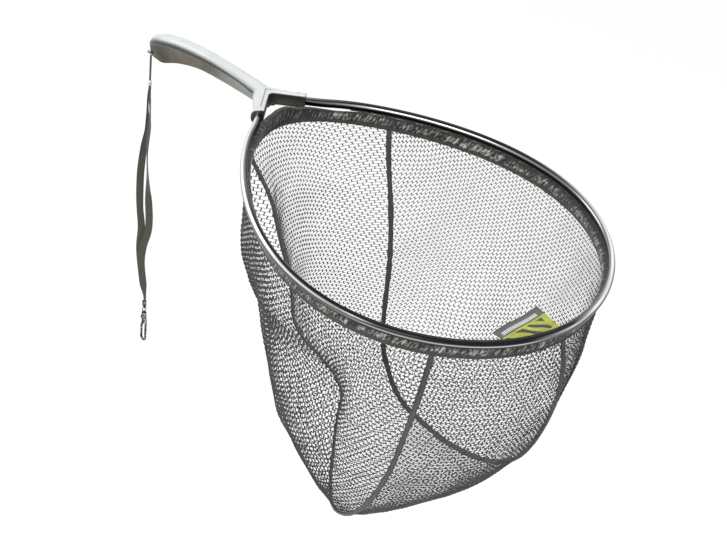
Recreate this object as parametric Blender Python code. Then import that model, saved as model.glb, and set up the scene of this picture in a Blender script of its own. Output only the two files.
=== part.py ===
"""Wading net: an aluminium hoop in a moulded yoke and grip, a sewn mesh bag, and a lanyard with a snap hook.

Metres, +Z up. The origin is inside the grip. +X runs from the grip to the hoop's nose, and the hoop
lies level, so +Z is the side that faces up as the net is held.
"""
import math

import bmesh
import bpy
from mathutils import Matrix, Vector

FIT = 0.0003                    # gap between pieces that touch or seat on each other

# Hoop: an egg-shaped bend of slotted tube
HOOP_CENTRE = Vector((0.370, 0, 0.013))
HOOP_HALF_LENGTH = 0.225
HOOP_HALF_WIDTH = 0.162
NOSE_FULLNESS = 0.19            # moves the widest place towards the nose
SIDE_FULLNESS = -0.059          # fills out the sides between nose and yoke
TUBE_WIDTH = 0.008
TUBE_HEIGHT = 0.010
CAVITY_RADIUS = 0.0026
CAVITY_IN = 0.0003              # the welt's cavity sits a little inwards in the tube and low in it
CAVITY_DROP = 0.0012
SLOT_WIDTH = 0.0016
SLOT_DIRECTION = math.radians(225)
BEND_ANGLE = math.radians(155)  # where the egg curve ends and the bend into the yoke begins
BEND_LENGTH = 0.020
ARM_ANGLE = math.radians(46)    # each yoke arm to the grip's axis
STRAIGHT_LENGTH = 0.008         # straight tube between the bend and the socket
TAIL_LENGTH = 0.020             # straight end of the hoop in its socket

# Yoke: two socket arms that meet in a rounded crotch
SOCKET_SIDE_WALL = 0.0032
SOCKET_INNER_WALL = 0.0014
SOCKET_FLOOR = 0.0015
SOCKET_ROOF = 0.0031
RIM_WIDTH = 0.0040              # raised rim along the inner edge of the yoke
RIM_HEIGHT = 0.0012
YOKE_FLARE = 0.0050             # extra half width of an arm where it leaves the grip
CROTCH_RADIUS = 0.0065
WEB_INSET = 0.0002              # keeps the web's faces just under the arms' own
LIP_REACH = 0.0015
LIP_HEIGHT = 0.0022

# Grip: place along X from the arms' crossing, crown, crease and underside heights, half width
GRIP_STATIONS = (
    (0.0080, 0.0078, 0.0040, -0.0060, 0.0060),
    (0.0020, 0.0080, 0.0040, -0.0085, 0.0090),
    (-0.0080, 0.0080, 0.0040, -0.0110, 0.0110),
    (-0.0360, 0.0060, 0.0040, -0.0140, 0.0100),
    (-0.0760, 0.0045, -0.0010, -0.0190, 0.0095),
    (-0.1160, 0.0000, -0.0075, -0.0260, 0.0100),
    (-0.1560, -0.0080, -0.0160, -0.0400, 0.0105),
    (-0.1860, -0.0170, -0.0260, -0.0550, 0.0110),
    (-0.1980, -0.0225, -0.0305, -0.0570, 0.0102),
    (-0.2070, -0.0275, -0.0355, -0.0570, 0.0086),
    (-0.2125, -0.0320, -0.0395, -0.0550, 0.0066),
    (-0.2165, -0.0370, -0.0430, -0.0520, 0.0046),
    (-0.2190, -0.0415, -0.0450, -0.0495, 0.0028),
    (-0.2200, -0.0450, -0.0462, -0.0475, 0.0012),
)
GRIP_BASE_HALF_WIDTH = 0.0070
CREASE_DEPTH = 0.0005
CORD_HOLE_RADIUS = 0.0026
CORD_HOLE_AT = Vector((-0.2072, 0, -0.0505))    # from the arms' crossing

# Hoop screws: one from below through each arm and the tube in it
SCREW_RADIUS = 0.0013
SCREW_HEAD_RADIUS = 0.0025
SCREW_HEAD_HEIGHT = 0.0012
SCREW_HEAD_RECESS = 0.0005

# Hem of the bag, just inside and below the tube
HEM_INSET = 0.0045
HEM_THICKNESS = 0.0060
BUNDLE_RISE = 0.0070            # the hem is gathered higher and thicker between the yoke's arms
BUNDLE_GROWTH = 0.0030
BUNDLE_SPREAD = (0.0040, 0.0260)
HEM_HEIGHT = 0.0117
BINDING_THICKNESS = 0.0030
BINDING_HEIGHT = 0.0037
WELT_END_ANGLE = math.radians(150)
WELT_FLANGE = 0.0010

# Bag: a strip panel down the yoke wall, along the bottom and up the tip wall, and two side panels
BAG_DEPTH = 0.352
MESH_THICKNESS = 0.0008
MESH_BAR = 0.0060               # netting left between the openings that stand for its holes
STRIP_OPENINGS = (16, 4)        # along and across the strip
SIDE_OPENINGS = (6, 5)          # along the hem and down a side panel
TAPE_WIDTH = 0.0070
TAPE_THICKNESS = 0.0020
FAR_SEAM_ENDS = (math.radians(133.4), math.radians(2))
NEAR_SEAM_ENDS = (math.radians(212), math.radians(319))
# Seam routes as shares of the hoop's half length, its half width and the bag's depth
FAR_SEAM = (
    (-0.658, 0.623, -0.170), (-0.578, 0.599, -0.327), (-0.520, 0.580, -0.511), (-0.502, 0.574, -0.724),
    (-0.444, 0.549, -0.866), (-0.244, 0.475, -0.949), (0.013, 0.389, -0.923), (0.311, 0.284, -0.855),
    (0.649, 0.167, -0.722), (0.876, 0.086, -0.554), (0.996, 0.049, -0.335), (1.018, 0.037, -0.170),
)
NEAR_SEAM = (
    (-0.667, -0.407, -0.148), (-0.560, -0.420, -0.256), (-0.498, -0.370, -0.398), (-0.458, -0.321, -0.582),
    (-0.329, -0.210, -0.682), (-0.213, -0.148, -0.761), (-0.169, -0.210, -0.866), (-0.062, -0.346, -0.966),
    (0.089, -0.519, -1.000), (0.276, -0.654, -0.938), (0.444, -0.698, -0.810), (0.582, -0.716, -0.605),
    (0.662, -0.728, -0.395), (0.720, -0.741, -0.213),
)
STRIP_BULGES = (0.010, 0.022, 0.006)    # yoke wall, bottom and tip wall
NEAR_SIDE_BULGE = 0.035
FAR_SIDE_BULGE = 0.012

# Label: a sewn tag that hangs inwards from the hem near the nose
LABEL_LENGTH = 0.066
LABEL_REACH = 0.0315
LABEL_THICKNESS = 0.0010
LABEL_AT = math.radians(352)
LABEL_SKEW = math.radians(15)   # turn of its length from the hem's run
LABEL_DROP = 0.004
LABEL_RISE = 0.12               # slope of its free side

# Lanyard: cord through the butt, crimp, doubled webbing and clamp
CORD_RADIUS = 0.0006
LEG_SPACING = 0.0015
HANG_AT = Vector((-0.0120, 0, -0.0115))         # from the cord hole to the swing's axis
LEG_LENGTH = 0.0395                             # from the swing's axis to the crimp's
CRIMP_RADIUS = 0.0027
CRIMP_DROP = 0.0034
POCKET_DEPTH = 0.0025
CLAMP_WALL = 0.0008
CLAMP_HEIGHT = 0.0075
WEBBING_LENGTH = 0.342
WEBBING_WIDTH = 0.0095
WEBBING_END_WIDTH = 0.0026
WEBBING_TAPER = 0.035
WEBBING_THICKNESS = 0.0011
WEBBING_FACING = math.radians(50)               # direction of the webbing's width, from +X towards +Y
END_TWIST = 40                                  # brings the ends' width in line with Y
RUN_OFFSET = 0.00075            # each run's end from the middle of its pocket
END_SIDE = RUN_OFFSET * math.cos(WEBBING_FACING)
END_DEEP = RUN_OFFSET * math.sin(WEBBING_FACING)
CLIP_LEAN = 0.0034              # the webbing's set carries its lower end this far sideways
# Webbing runs: share of the length, sideways place, depth place, twist in degrees
LEFT_RUN = (
    (0.00, -END_SIDE, -END_DEEP, END_TWIST), (0.02, -END_SIDE, -END_DEEP, END_TWIST),
    (0.05, -0.0012, -0.0006, 66), (0.10, -0.0018, -0.0004, 84), (0.15, -0.0016, -0.0010, 70),
    (0.20, -0.0018, -0.0018, 56), (0.27, -0.0046, -0.0024, 30), (0.38, -0.0076, -0.0022, 10),
    (0.48, -0.0079, -0.0018, 12), (0.56, -0.0068, -0.0016, 30), (0.64, -0.0044, -0.0016, 14),
    (0.73, -0.0056, -0.0016, 0), (0.80, -0.0042, -0.0016, -8), (0.90, 0.0000, -0.0016, 10),
    (0.97, CLIP_LEAN - END_SIDE, -END_DEEP, END_TWIST), (1.00, CLIP_LEAN - END_SIDE, -END_DEEP, END_TWIST),
)
RIGHT_RUN = (
    (0.00, END_SIDE, END_DEEP, END_TWIST), (0.02, END_SIDE, END_DEEP, END_TWIST),
    (0.05, 0.0006, 0.0018, 70), (0.10, 0.0016, 0.0016, 88), (0.15, 0.0016, 0.0026, 80),
    (0.20, 0.0012, 0.0040, 66), (0.30, 0.0004, 0.0046, 88), (0.38, 0.0014, 0.0044, 86),
    (0.46, 0.0026, 0.0034, 56), (0.52, 0.0042, 0.0026, 20), (0.60, 0.0056, 0.0018, 4),
    (0.66, 0.0044, 0.0018, 0), (0.73, -0.0008, 0.0018, 6), (0.80, -0.0026, 0.0018, -6),
    (0.90, 0.0006, 0.0018, 10), (0.97, CLIP_LEAN + END_SIDE, END_DEEP, END_TWIST),
    (1.00, CLIP_LEAN + END_SIDE, END_DEEP, END_TWIST),
)

# Swivel and snap hook; the hook's own places run down from the top of its boss
LUG_THICKNESS = 0.0016
LUG_HOLE_RADIUS = 0.0014
LUG_WEB = 0.0012
RING_WIRE_RADIUS = 0.0008
RING_HALF_WIDTH = 0.0027
RING_HEIGHT = 0.0075
STEM_RADIUS = 0.0011
STEM_HEAD_RADIUS = 0.0019
STEM_HEAD_HEIGHT = 0.0012
BOSS_RADIUS = 0.0034
BOSS_HEIGHT = 0.0030
WINDOW_HEIGHT = 0.0042
HOOK_THICKNESS = 0.0034
HOOK_WIRE = 0.0024
HOOK_HALF_WIDTH = 0.0046
HOOK_HEIGHT = 0.0485
GATE_THICKNESS = 0.0018
GATE_PIVOT = Vector((-0.0034, 0, -0.0100))
GATE_LENGTH = 0.0130
GATE_EYE_RADIUS = 0.0016
GATE_TONGUE = 0.0012
GATE_PIN_RADIUS = 0.0007

AXIS_PLACES = {}
TUBE_STEPS = 12
CAVITY_STEPS = 8
HOOP_STEPS = 40
HEM_STEPS = 56
PANEL_STEPS = 32


def remove_everything():
    for thing in list(bpy.data.objects):
        bpy.data.objects.remove(thing, do_unlink=True)


def finish(name, colour, roughness, metallic=0.0):
    """A Principled material; the colour is written as sRGB and turned to linear."""
    material = bpy.data.materials.new(name)
    material.use_nodes = True
    shader = material.node_tree.nodes["Principled BSDF"]
    linear = [c / 12.92 if c <= 0.04045 else ((c + 0.055) / 1.055) ** 2.4 for c in colour]
    shader.inputs["Base Color"].default_value = (*linear, 1)
    shader.inputs["Roughness"].default_value = roughness
    shader.inputs["Metallic"].default_value = metallic
    return material


def place_axis(name, place, parent):
    """An empty at a place given from the hoop's centre; the pieces under it turn about it."""
    empty = bpy.data.objects.new(name, None)
    empty.location = place - AXIS_PLACES[parent.name]
    empty.parent = parent
    bpy.context.collection.objects.link(empty)
    AXIS_PLACES[name] = place
    return empty


def place_hoop_frame():
    """The empty at the hoop's centre, from which every place below is given."""
    empty = bpy.data.objects.new("hoop_frame", None)
    empty.location = HOOP_CENTRE
    bpy.context.collection.objects.link(empty)
    AXIS_PLACES[empty.name] = Vector((0, 0, 0))
    return empty


def add_piece(name, points, faces, material, parent):
    """One closed body as a named object, with its faces turned outwards and its crisp edges kept."""
    mesh = bpy.data.meshes.new(name)
    origin = AXIS_PLACES[parent.name]
    mesh.from_pydata([tuple(point - origin) for point in points], [], faces)
    shell = bmesh.new()
    shell.from_mesh(mesh)
    bmesh.ops.recalc_face_normals(shell, faces=shell.faces)
    shell.to_mesh(mesh)
    shell.free()
    mesh.shade_smooth()
    mesh.set_sharp_from_angle(angle=math.radians(35))
    piece = bpy.data.objects.new(name, mesh)
    piece.parent = parent
    if material:
        mesh.materials.append(material)
    bpy.context.collection.objects.link(piece)
    return piece


def loft(name, rings, material, parent, closed=False):
    """Join rings of points, each as long as the others, into one body."""
    size = len(rings[0])
    points = [point for ring in rings for point in ring]
    faces = []
    spans = len(rings) if closed else len(rings) - 1
    for i in range(spans):
        here = i * size
        there = (i + 1) % len(rings) * size
        for j in range(size):
            k = (j + 1) % size
            faces.append((here + j, here + k, there + k, there + j))
    if not closed:
        faces.append(tuple(reversed(range(size))))
        faces.append(tuple(range(len(points) - size, len(points))))
    return add_piece(name, points, faces, material, parent)


def prism(name, outline, low, high, material, parent, place=None):
    """Extrude a plan outline from low to high; place turns (across, along, height) into a point."""
    put = place or (lambda x, y, z: Vector((x, y, z)))
    rings = [[put(x, y, height) for x, y in outline] for height in (low, high)]
    return loft(name, rings, material, parent)


def turned(name, profile, foot, material, parent, sides=16):
    """Turn a profile of radius and height about an upright axis through foot."""
    turns = [2 * math.pi * i / sides for i in range(sides)]
    rings = [[foot + Vector((r * math.cos(a), r * math.sin(a), z)) for a in turns] for r, z in profile]
    return loft(name, rings, material, parent)


def flat_plate(name, outline, thickness, material, parent, offset=Vector((0, 0, 0))):
    """A plate in the XZ plane, centred on Y; the outline is given as x and z from offset."""
    return prism(name, outline, -thickness / 2, thickness / 2, material, parent,
                 lambda x, z, y: offset + Vector((x, y, z)))


def cord_tube(name, points, radius, material, parent, round_start=False):
    """A cord stretch as a bevelled curve; a rounded start lets it turn about its first end."""
    curve = bpy.data.curves.new(name, "CURVE")
    curve.dimensions = "3D"
    curve.bevel_depth = radius
    curve.bevel_resolution = 2
    curve.use_fill_caps = True
    curve.render_resolution_u = 0
    origin = AXIS_PLACES[parent.name]
    sizes = [1.0] * len(points)
    if round_start:
        first, second = points[0], points[1]
        along = (second - first).normalized()
        cuts = (20, 50, 80)
        points = [first + radius * (1 - math.cos(math.radians(c))) * along for c in cuts] + points[1:]
        sizes = [math.sin(math.radians(c)) for c in cuts] + sizes[1:]
    spline = curve.splines.new("POLY")
    spline.points.add(len(points) - 1)
    for knot, point, size in zip(spline.points, points, sizes):
        knot.co = (*(point - origin), 1)
        knot.radius = size
    curve.materials.append(material)
    piece = bpy.data.objects.new(name, curve)
    piece.parent = parent
    bpy.context.collection.objects.link(piece)
    return piece


def cylinder(name, start, end, radius, material, parent, sides=20):
    axis = (end - start).normalized()
    side = axis.orthogonal().normalized()
    other = axis.cross(side)
    turns = [2 * math.pi * i / sides for i in range(sides)]
    rings = [[end_point + radius * (math.cos(a) * side + math.sin(a) * other) for a in turns]
             for end_point in (start, end)]
    return loft(name, rings, material, parent)


def combine(piece, tool, operation):
    """Join or cut with a hidden tool body."""
    tool.hide_render = True
    tool.display_type = "WIRE"
    step = piece.modifiers.new(operation.lower(), "BOOLEAN")
    step.operation = operation
    step.object = tool
    step.solver = "EXACT"


def smooth_route(points, count):
    """Catmull-Rom curve through the points, as count + 1 places spaced evenly along it."""
    ends = [2 * points[0] - points[1], *points, 2 * points[-1] - points[-2]]
    fine = []
    for a, b, c, d in zip(ends, ends[1:], ends[2:], ends[3:]):
        for k in range(20):
            s = k / 20
            fine.append(0.5 * (2 * b + (c - a) * s + (2 * a - 5 * b + 4 * c - d) * s ** 2
                               + (3 * b - a - 3 * c + d) * s ** 3))
    fine.append(points[-1])
    travelled = [0.0]
    for a, b in zip(fine, fine[1:]):
        travelled.append(travelled[-1] + (b - a).length)
    even = []
    k = 0
    for i in range(count + 1):
        goal = travelled[-1] * i / count
        while k < len(fine) - 2 and travelled[k + 1] < goal:
            k += 1
        share = (goal - travelled[k]) / (travelled[k + 1] - travelled[k])
        even.append(fine[k].lerp(fine[k + 1], min(1.0, share)))
    return even


def smooth_values(rows, count):
    """Rows of numbers, the first of which rises or falls, sampled on a smooth curve through them."""
    ends = [[2 * a - b for a, b in zip(rows[0], rows[1])], *rows,
            [2 * a - b for a, b in zip(rows[-1], rows[-2])]]
    samples = []
    for a, b, c, d in zip(ends, ends[1:], ends[2:], ends[3:]):
        for k in range(count):
            s = k / count
            samples.append([0.5 * (2 * q + (r - p) * s + (2 * p - 5 * q + 4 * r - t) * s ** 2
                                   + (3 * q - p - 3 * r + t) * s ** 3) for p, q, r, t in zip(a, b, c, d)])
    samples.append(list(rows[-1]))
    return samples


def ease(x, low, high):
    share = min(1.0, max(0.0, (x - low) / (high - low)))
    return share * share * (3 - 2 * share)


# The hoop's centre line and the places that follow it

def hoop_point(angle):
    fullness = 1 + NOSE_FULLNESS * math.cos(angle) + SIDE_FULLNESS * math.cos(2 * angle)
    return Vector((HOOP_HALF_LENGTH * math.cos(angle), HOOP_HALF_WIDTH * math.sin(angle) * fullness, 0))


def hoop_outward(angle):
    step = 0.0001
    along = (hoop_point(angle + step) - hoop_point(angle - step)).normalized()
    return Vector((along.y, -along.x, 0))


def beside_hoop(angle, inset, height):
    return hoop_point(angle) - inset * hoop_outward(angle) + Vector((0, 0, height))


def tail_stations():
    """Places and outward directions along the +Y end: the bend, then the straight tail in its socket."""
    point = hoop_point(BEND_ANGLE)
    outward = hoop_outward(BEND_ANGLE)
    heading = math.atan2(outward.x, -outward.y) % (2 * math.pi)
    final = math.pi + ARM_ANGLE
    stations = []
    steps = 5
    for i in range(steps):
        middle = heading + (final - heading) * (i + 0.5) / steps
        point = point + BEND_LENGTH / steps * Vector((math.cos(middle), math.sin(middle), 0))
        now = heading + (final - heading) * (i + 1) / steps
        stations.append((point, Vector((math.sin(now), -math.cos(now), 0))))
    along = Vector((math.cos(final), math.sin(final), 0))
    mouth = point + STRAIGHT_LENGTH * along
    stations.append((mouth + TAIL_LENGTH * along, stations[-1][1]))
    return stations, mouth


TAIL, SOCKET_MOUTH = tail_stations()
ARM_LENGTH = SOCKET_MOUTH.y / math.sin(ARM_ANGLE)
ARM_CROSSING = Vector((SOCKET_MOUTH.x - ARM_LENGTH * math.cos(ARM_ANGLE), 0, 0))
HOLE = ARM_CROSSING + CORD_HOLE_AT

HANG = HOLE + HANG_AT
SWAY = HANG - Vector((0, 0, LEG_LENGTH))
WEBBING_TOP = SWAY.z - CRIMP_DROP + POCKET_DEPTH - FIT
CLAMP_TOP = WEBBING_TOP - WEBBING_LENGTH + POCKET_DEPTH - FIT
LUG_HOLE = CLAMP_TOP - CLAMP_HEIGHT - 0.0006 - LUG_HOLE_RADIUS
CLIP = Vector((HANG.x + CLIP_LEAN * math.cos(WEBBING_FACING), CLIP_LEAN * math.sin(WEBBING_FACING), 0))
TILT = CLIP + Vector((0, 0, LUG_HOLE - (LUG_HOLE_RADIUS - RING_WIRE_RADIUS - FIT)))
RING_LOW = TILT.z - RING_HEIGHT
BOSS_TOP = CLIP + Vector((0, 0, RING_LOW - RING_WIRE_RADIUS - 0.0012))

ARM_TOP = TUBE_HEIGHT / 2 + FIT + SOCKET_ROOF
ARM_BOTTOM = TUBE_HEIGHT / 2 + FIT + SOCKET_FLOOR
ARM_INNER = TUBE_WIDTH / 2 + FIT + SOCKET_INNER_WALL
ARM_OUTER = TUBE_WIDTH / 2 + FIT + SOCKET_SIDE_WALL

HEM_TOP = TUBE_HEIGHT / 2 + FIT
HEM_DIP = ARM_BOTTOM + FIT - HEM_TOP
HEM_LOW = HEM_TOP + HEM_HEIGHT
BINDING_TOP = HEM_LOW + FIT
BINDING_LOW = BINDING_TOP + BINDING_HEIGHT
BAG_TOP = BINDING_LOW + FIT


def mirror_y(point):
    return Vector((point.x, -point.y, point.z))


def hoop_angles():
    return [BEND_ANGLE * (2 * i / HOOP_STEPS - 1) for i in range(HOOP_STEPS + 1)]


def hoop_stations():
    """The whole hoop from its -Y tail round the nose to its +Y tail."""
    body = [(hoop_point(angle), hoop_outward(angle)) for angle in hoop_angles()]
    other = [(mirror_y(point), mirror_y(outward)) for point, outward in reversed(TAIL)]
    return other + body + TAIL


def at_section(point, outward, n, z):
    return point + n * outward + Vector((0, 0, z))


def slot_exit(side):
    """Where a side of the slot leaves the tube's oval outline, from the cavity's centre."""
    along = Vector((math.cos(SLOT_DIRECTION), math.sin(SLOT_DIRECTION)))
    start = Vector((-CAVITY_IN, -CAVITY_DROP)) + side * SLOT_WIDTH / 2 * Vector((-along.y, along.x))
    half = Vector((TUBE_WIDTH / 2, TUBE_HEIGHT / 2))
    a = (along.x / half.x) ** 2 + (along.y / half.y) ** 2
    b = 2 * (start.x * along.x / half.x ** 2 + start.y * along.y / half.y ** 2)
    c = (start.x / half.x) ** 2 + (start.y / half.y) ** 2 - 1
    return start + along * (-b + math.sqrt(b * b - 4 * a * c)) / (2 * a)


def tube_section():
    """The slotted tube: the oval outside from one side of the slot to the other, then the cavity."""
    first, last = slot_exit(1), slot_exit(-1)
    half = Vector((TUBE_WIDTH / 2, TUBE_HEIGHT / 2))
    start = math.atan2(first.y / half.y, first.x / half.x) % (2 * math.pi)
    end = math.atan2(last.y / half.y, last.x / half.x) % (2 * math.pi) + 2 * math.pi
    section = []
    for i in range(TUBE_STEPS + 1):
        a = start + (end - start) * i / TUBE_STEPS
        section.append((half.x * math.cos(a), half.y * math.sin(a)))
    gap = math.asin(SLOT_WIDTH / 2 / CAVITY_RADIUS)
    for i in range(CAVITY_STEPS + 1):
        a = SLOT_DIRECTION - gap - (2 * math.pi - 2 * gap) * i / CAVITY_STEPS
        section.append((-CAVITY_IN + CAVITY_RADIUS * math.cos(a), -CAVITY_DROP + CAVITY_RADIUS * math.sin(a)))
    return section


def make_hoop(material, parent):
    section = tube_section()
    rings = [[at_section(point, outward, n, z) for n, z in section] for point, outward in hoop_stations()]
    hoop = loft("hoop", rings, material, parent)
    for side, point in screw_places():
        low = point - Vector((0, 0, TUBE_HEIGHT))
        high = point + Vector((0, 0, SCREW_TIP + FIT))
        pilot = cylinder(f"pilot_{side}", low, high, SCREW_RADIUS + FIT, None, parent, sides=12)
        combine(hoop, pilot, "DIFFERENCE")
    return hoop


# Yoke and grip

SCREW_TIP = TUBE_HEIGHT / 2 - CAVITY_DROP


def screw_places():
    middle = SOCKET_MOUTH.lerp(TAIL[-1][0], 0.5)
    return (("left", middle), ("right", mirror_y(middle)))


def arm_section(outer):
    """An arm's outline, n outwards: flat below, a crown that falls outwards, a raised rim inside."""
    rim = ARM_TOP + RIM_HEIGHT
    return (
        (-ARM_INNER, -ARM_BOTTOM + 0.0008), (-ARM_INNER + 0.0008, -ARM_BOTTOM),
        (outer * 0.62, -ARM_BOTTOM), (outer * 0.88, -ARM_BOTTOM * 0.75), (outer, -ARM_BOTTOM * 0.2),
        (outer * 0.98, ARM_TOP * 0.25), (outer * 0.86, ARM_TOP * 0.56), (outer * 0.56, ARM_TOP * 0.82),
        (-ARM_INNER + RIM_WIDTH + 0.0003, ARM_TOP), (-ARM_INNER + RIM_WIDTH, rim - 0.0003),
        (-ARM_INNER + RIM_WIDTH - 0.0004, rim), (-ARM_INNER + 0.0006, rim), (-ARM_INNER, rim - 0.0006),
    )


def make_arm(name, flip, parent):
    along = Vector((math.cos(ARM_ANGLE), math.sin(ARM_ANGLE), 0))
    outward = Vector((-along.y, along.x, 0))
    rings = []
    steps = 8
    for i in range(steps + 1):
        distance = ARM_LENGTH * i / steps
        outer = ARM_OUTER + YOKE_FLARE * (1 - ease(i / steps, 0.0, 0.9))
        ring = [at_section(ARM_CROSSING + distance * along, outward, n, z) for n, z in arm_section(outer)]
        rings.append([mirror_y(point) for point in ring] if flip else ring)
    return loft(name, rings, None, parent)


def crotch_outline(reach):
    """Plan of the web in the crotch: back to the arms' crossing, with a rounded hollow in front."""
    inner = ARM_INNER - WEB_INSET + reach
    centre_x = ARM_CROSSING.x + (inner + CROTCH_RADIUS) / math.sin(ARM_ANGLE)
    steps = 7
    arc = []
    for i in range(steps + 1):
        a = math.pi + (math.pi / 2 - ARM_ANGLE) * (1 - 2 * i / steps)
        arc.append((centre_x + CROTCH_RADIUS * math.cos(a), CROTCH_RADIUS * math.sin(a)))
    root = ARM_CROSSING.x - ARM_INNER * 0.3
    back = (arc[0][0] - ARM_INNER * 0.9, arc[0][1] * 1.4)
    return [*arc, (back[0], -back[1]), (root, 0), back]


def grip_section(x, crown, crease, base, half_width):
    """Round top down to a crease at the widest line, sides that taper to a flat underside.

    An odd count of steps keeps the crown's edges off y = 0, where the arms' faces meet."""
    ring = []
    steps = 11
    for i in range(steps + 1):
        a = math.pi * i / steps
        ring.append(Vector((x, half_width * math.cos(a), crease + (crown - crease) * math.sin(a))))
    foot = min(GRIP_BASE_HALF_WIDTH, half_width * 0.8)
    corner = min(0.0018, (crease - base) * 0.3)
    side = half_width - CREASE_DEPTH
    below = ((-side, crease - CREASE_DEPTH), (-foot, base + corner), (-foot + corner, base),
             (foot - corner, base), (foot, base + corner), (side, crease - CREASE_DEPTH))
    return ring + [Vector((x, y, z)) for y, z in below]


def make_grip(material, parent):
    rows = smooth_values(GRIP_STATIONS, 3)
    rings = [grip_section(ARM_CROSSING.x + row[0], *row[1:]) for row in rows]
    return loft("handle", rings, material, parent)


def make_socket(name, flip, parent):
    """Cutter of a socket: the tube's oval and a fit, along its tail and out past the arm's end."""
    half = Vector((TUBE_WIDTH / 2 + FIT, TUBE_HEIGHT / 2 + FIT))
    turns = [2 * math.pi * (i + 0.5) / 20 for i in range(20)]
    along = Vector((math.cos(ARM_ANGLE), math.sin(ARM_ANGLE), 0))
    end, outward = TAIL[-1]
    stations = [(end - FIT * along, outward), (SOCKET_MOUTH + 0.004 * along, outward)]
    rings = []
    for point, across in stations:
        ring = [at_section(point, across, half.x * math.cos(a), half.y * math.sin(a)) for a in turns]
        rings.append([mirror_y(p) for p in ring] if flip else ring)
    return loft(name, rings, None, parent)


def make_handle(material, parent):
    handle = make_grip(material, parent)
    for name, flip in (("arm_left", False), ("arm_right", True)):
        combine(handle, make_arm(name, flip, parent), "UNION")
    low, high = WEB_INSET - ARM_BOTTOM, ARM_TOP + RIM_HEIGHT - WEB_INSET
    web = prism("crotch_web", crotch_outline(0), low, high, None, parent)
    combine(handle, web, "UNION")
    low = WEB_INSET / 2 - ARM_BOTTOM
    lip = prism("crotch_lip", crotch_outline(LIP_REACH), low, low + LIP_HEIGHT, None, parent)
    combine(handle, lip, "UNION")
    for name, flip in (("socket_left", False), ("socket_right", True)):
        combine(handle, make_socket(name, flip, parent), "DIFFERENCE")
    for side, point in screw_places():
        low = point - Vector((0, 0, ARM_BOTTOM + 0.002))
        seat = point - Vector((0, 0, ARM_BOTTOM - SCREW_HEAD_RECESS))
        recess = cylinder(f"recess_{side}", low, seat, SCREW_HEAD_RADIUS + FIT, None, parent)
        shank = cylinder(f"shank_{side}", low, point, SCREW_RADIUS + FIT, None, parent, sides=12)
        combine(handle, recess, "DIFFERENCE")
        combine(handle, shank, "DIFFERENCE")
    across = Vector((0, 0.03, 0))
    hole = cylinder("cord_hole", HOLE - across, HOLE + across, CORD_HOLE_RADIUS, None, parent)
    combine(handle, hole, "DIFFERENCE")
    return handle


def make_screw(side, point, material, parent):
    head_top = -ARM_BOTTOM + SCREW_HEAD_RECESS - FIT
    profile = ((SCREW_HEAD_RADIUS - 0.0004, head_top - SCREW_HEAD_HEIGHT),
               (SCREW_HEAD_RADIUS, head_top - SCREW_HEAD_HEIGHT + 0.0004), (SCREW_HEAD_RADIUS, head_top),
               (SCREW_RADIUS, head_top), (SCREW_RADIUS, SCREW_TIP - SCREW_RADIUS), (0.0004, SCREW_TIP))
    return turned(f"hoop_screw_{side}", profile, point, material, parent)


# Hem

def make_welt(material, parent):
    """Bead in the tube's cavity with a flange that comes out through the slot to the hem."""
    centre = Vector((-CAVITY_IN, -CAVITY_DROP))
    radius = CAVITY_RADIUS - FIT
    along = Vector((math.cos(SLOT_DIRECTION), math.sin(SLOT_DIRECTION)))
    across = Vector((-along.y, along.x)) * WELT_FLANGE / 2
    reach = (HEM_TOP - FIT - CAVITY_DROP - WELT_FLANGE / 2) / -along.y
    gap = math.asin(WELT_FLANGE / 2 / radius)
    section = []
    for i in range(CAVITY_STEPS + 1):
        a = SLOT_DIRECTION + gap + (2 * math.pi - 2 * gap) * i / CAVITY_STEPS
        section.append(centre + radius * Vector((math.cos(a), math.sin(a))))
    tip = centre + along * reach
    section.extend((tip - across, tip + across))
    rings = [[at_section(hoop_point(angle), hoop_outward(angle), n, z) for n, z in section]
             for angle in hoop_angles() if abs(angle) <= WELT_END_ANGLE]
    return loft("hem_welt", rings, material, parent)


def hem_top(angle):
    """The hem's top lies under the tube, and lower where it passes under the yoke's arms."""
    off_nose = abs((angle + math.pi) % (2 * math.pi) - math.pi)
    return -HEM_TOP - HEM_DIP * ease(off_nose, BEND_ANGLE - 0.22, BEND_ANGLE - 0.03)


def bundle_share(angle):
    """How much of the gathered bundle there is: all in the middle of the yoke, none past its arms."""
    return 1 - ease(abs(hoop_point(angle).y) if math.cos(angle) < 0 else math.inf, *BUNDLE_SPREAD)


def make_hem_band(material, parent):
    rings = []
    inner = -HEM_THICKNESS / 2
    low = -HEM_LOW
    for i in range(HEM_STEPS):
        angle = 2 * math.pi * i / HEM_STEPS
        share = bundle_share(angle)
        top = hem_top(angle) + BUNDLE_RISE * share
        outer = BUNDLE_GROWTH * share - inner
        shoulder, waist = top * 0.75 + low * 0.25, top * 0.3 + low * 0.7
        shape = ((inner * 0.55, top), (outer * 0.55, top), (outer, shoulder), (outer * 0.95, waist),
                 (-inner * 0.5, low), (inner * 0.5, low), (inner * 0.95, waist), (inner, shoulder))
        rings.append([at_section(hoop_point(angle), hoop_outward(angle), n - HEM_INSET, z) for n, z in shape])
    return loft("hem_band", rings, material, parent, closed=True)


def make_binding(material, parent):
    rings = []
    half = BINDING_THICKNESS / 2
    for i in range(HEM_STEPS):
        angle = 2 * math.pi * i / HEM_STEPS
        shape = ((-half, -BINDING_TOP), (half, -BINDING_TOP), (half, -BINDING_LOW), (-half, -BINDING_LOW))
        rings.append([at_section(hoop_point(angle), hoop_outward(angle), n - HEM_INSET, z) for n, z in shape])
    return loft("hem_binding", rings, material, parent, closed=True)


# Bag

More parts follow.
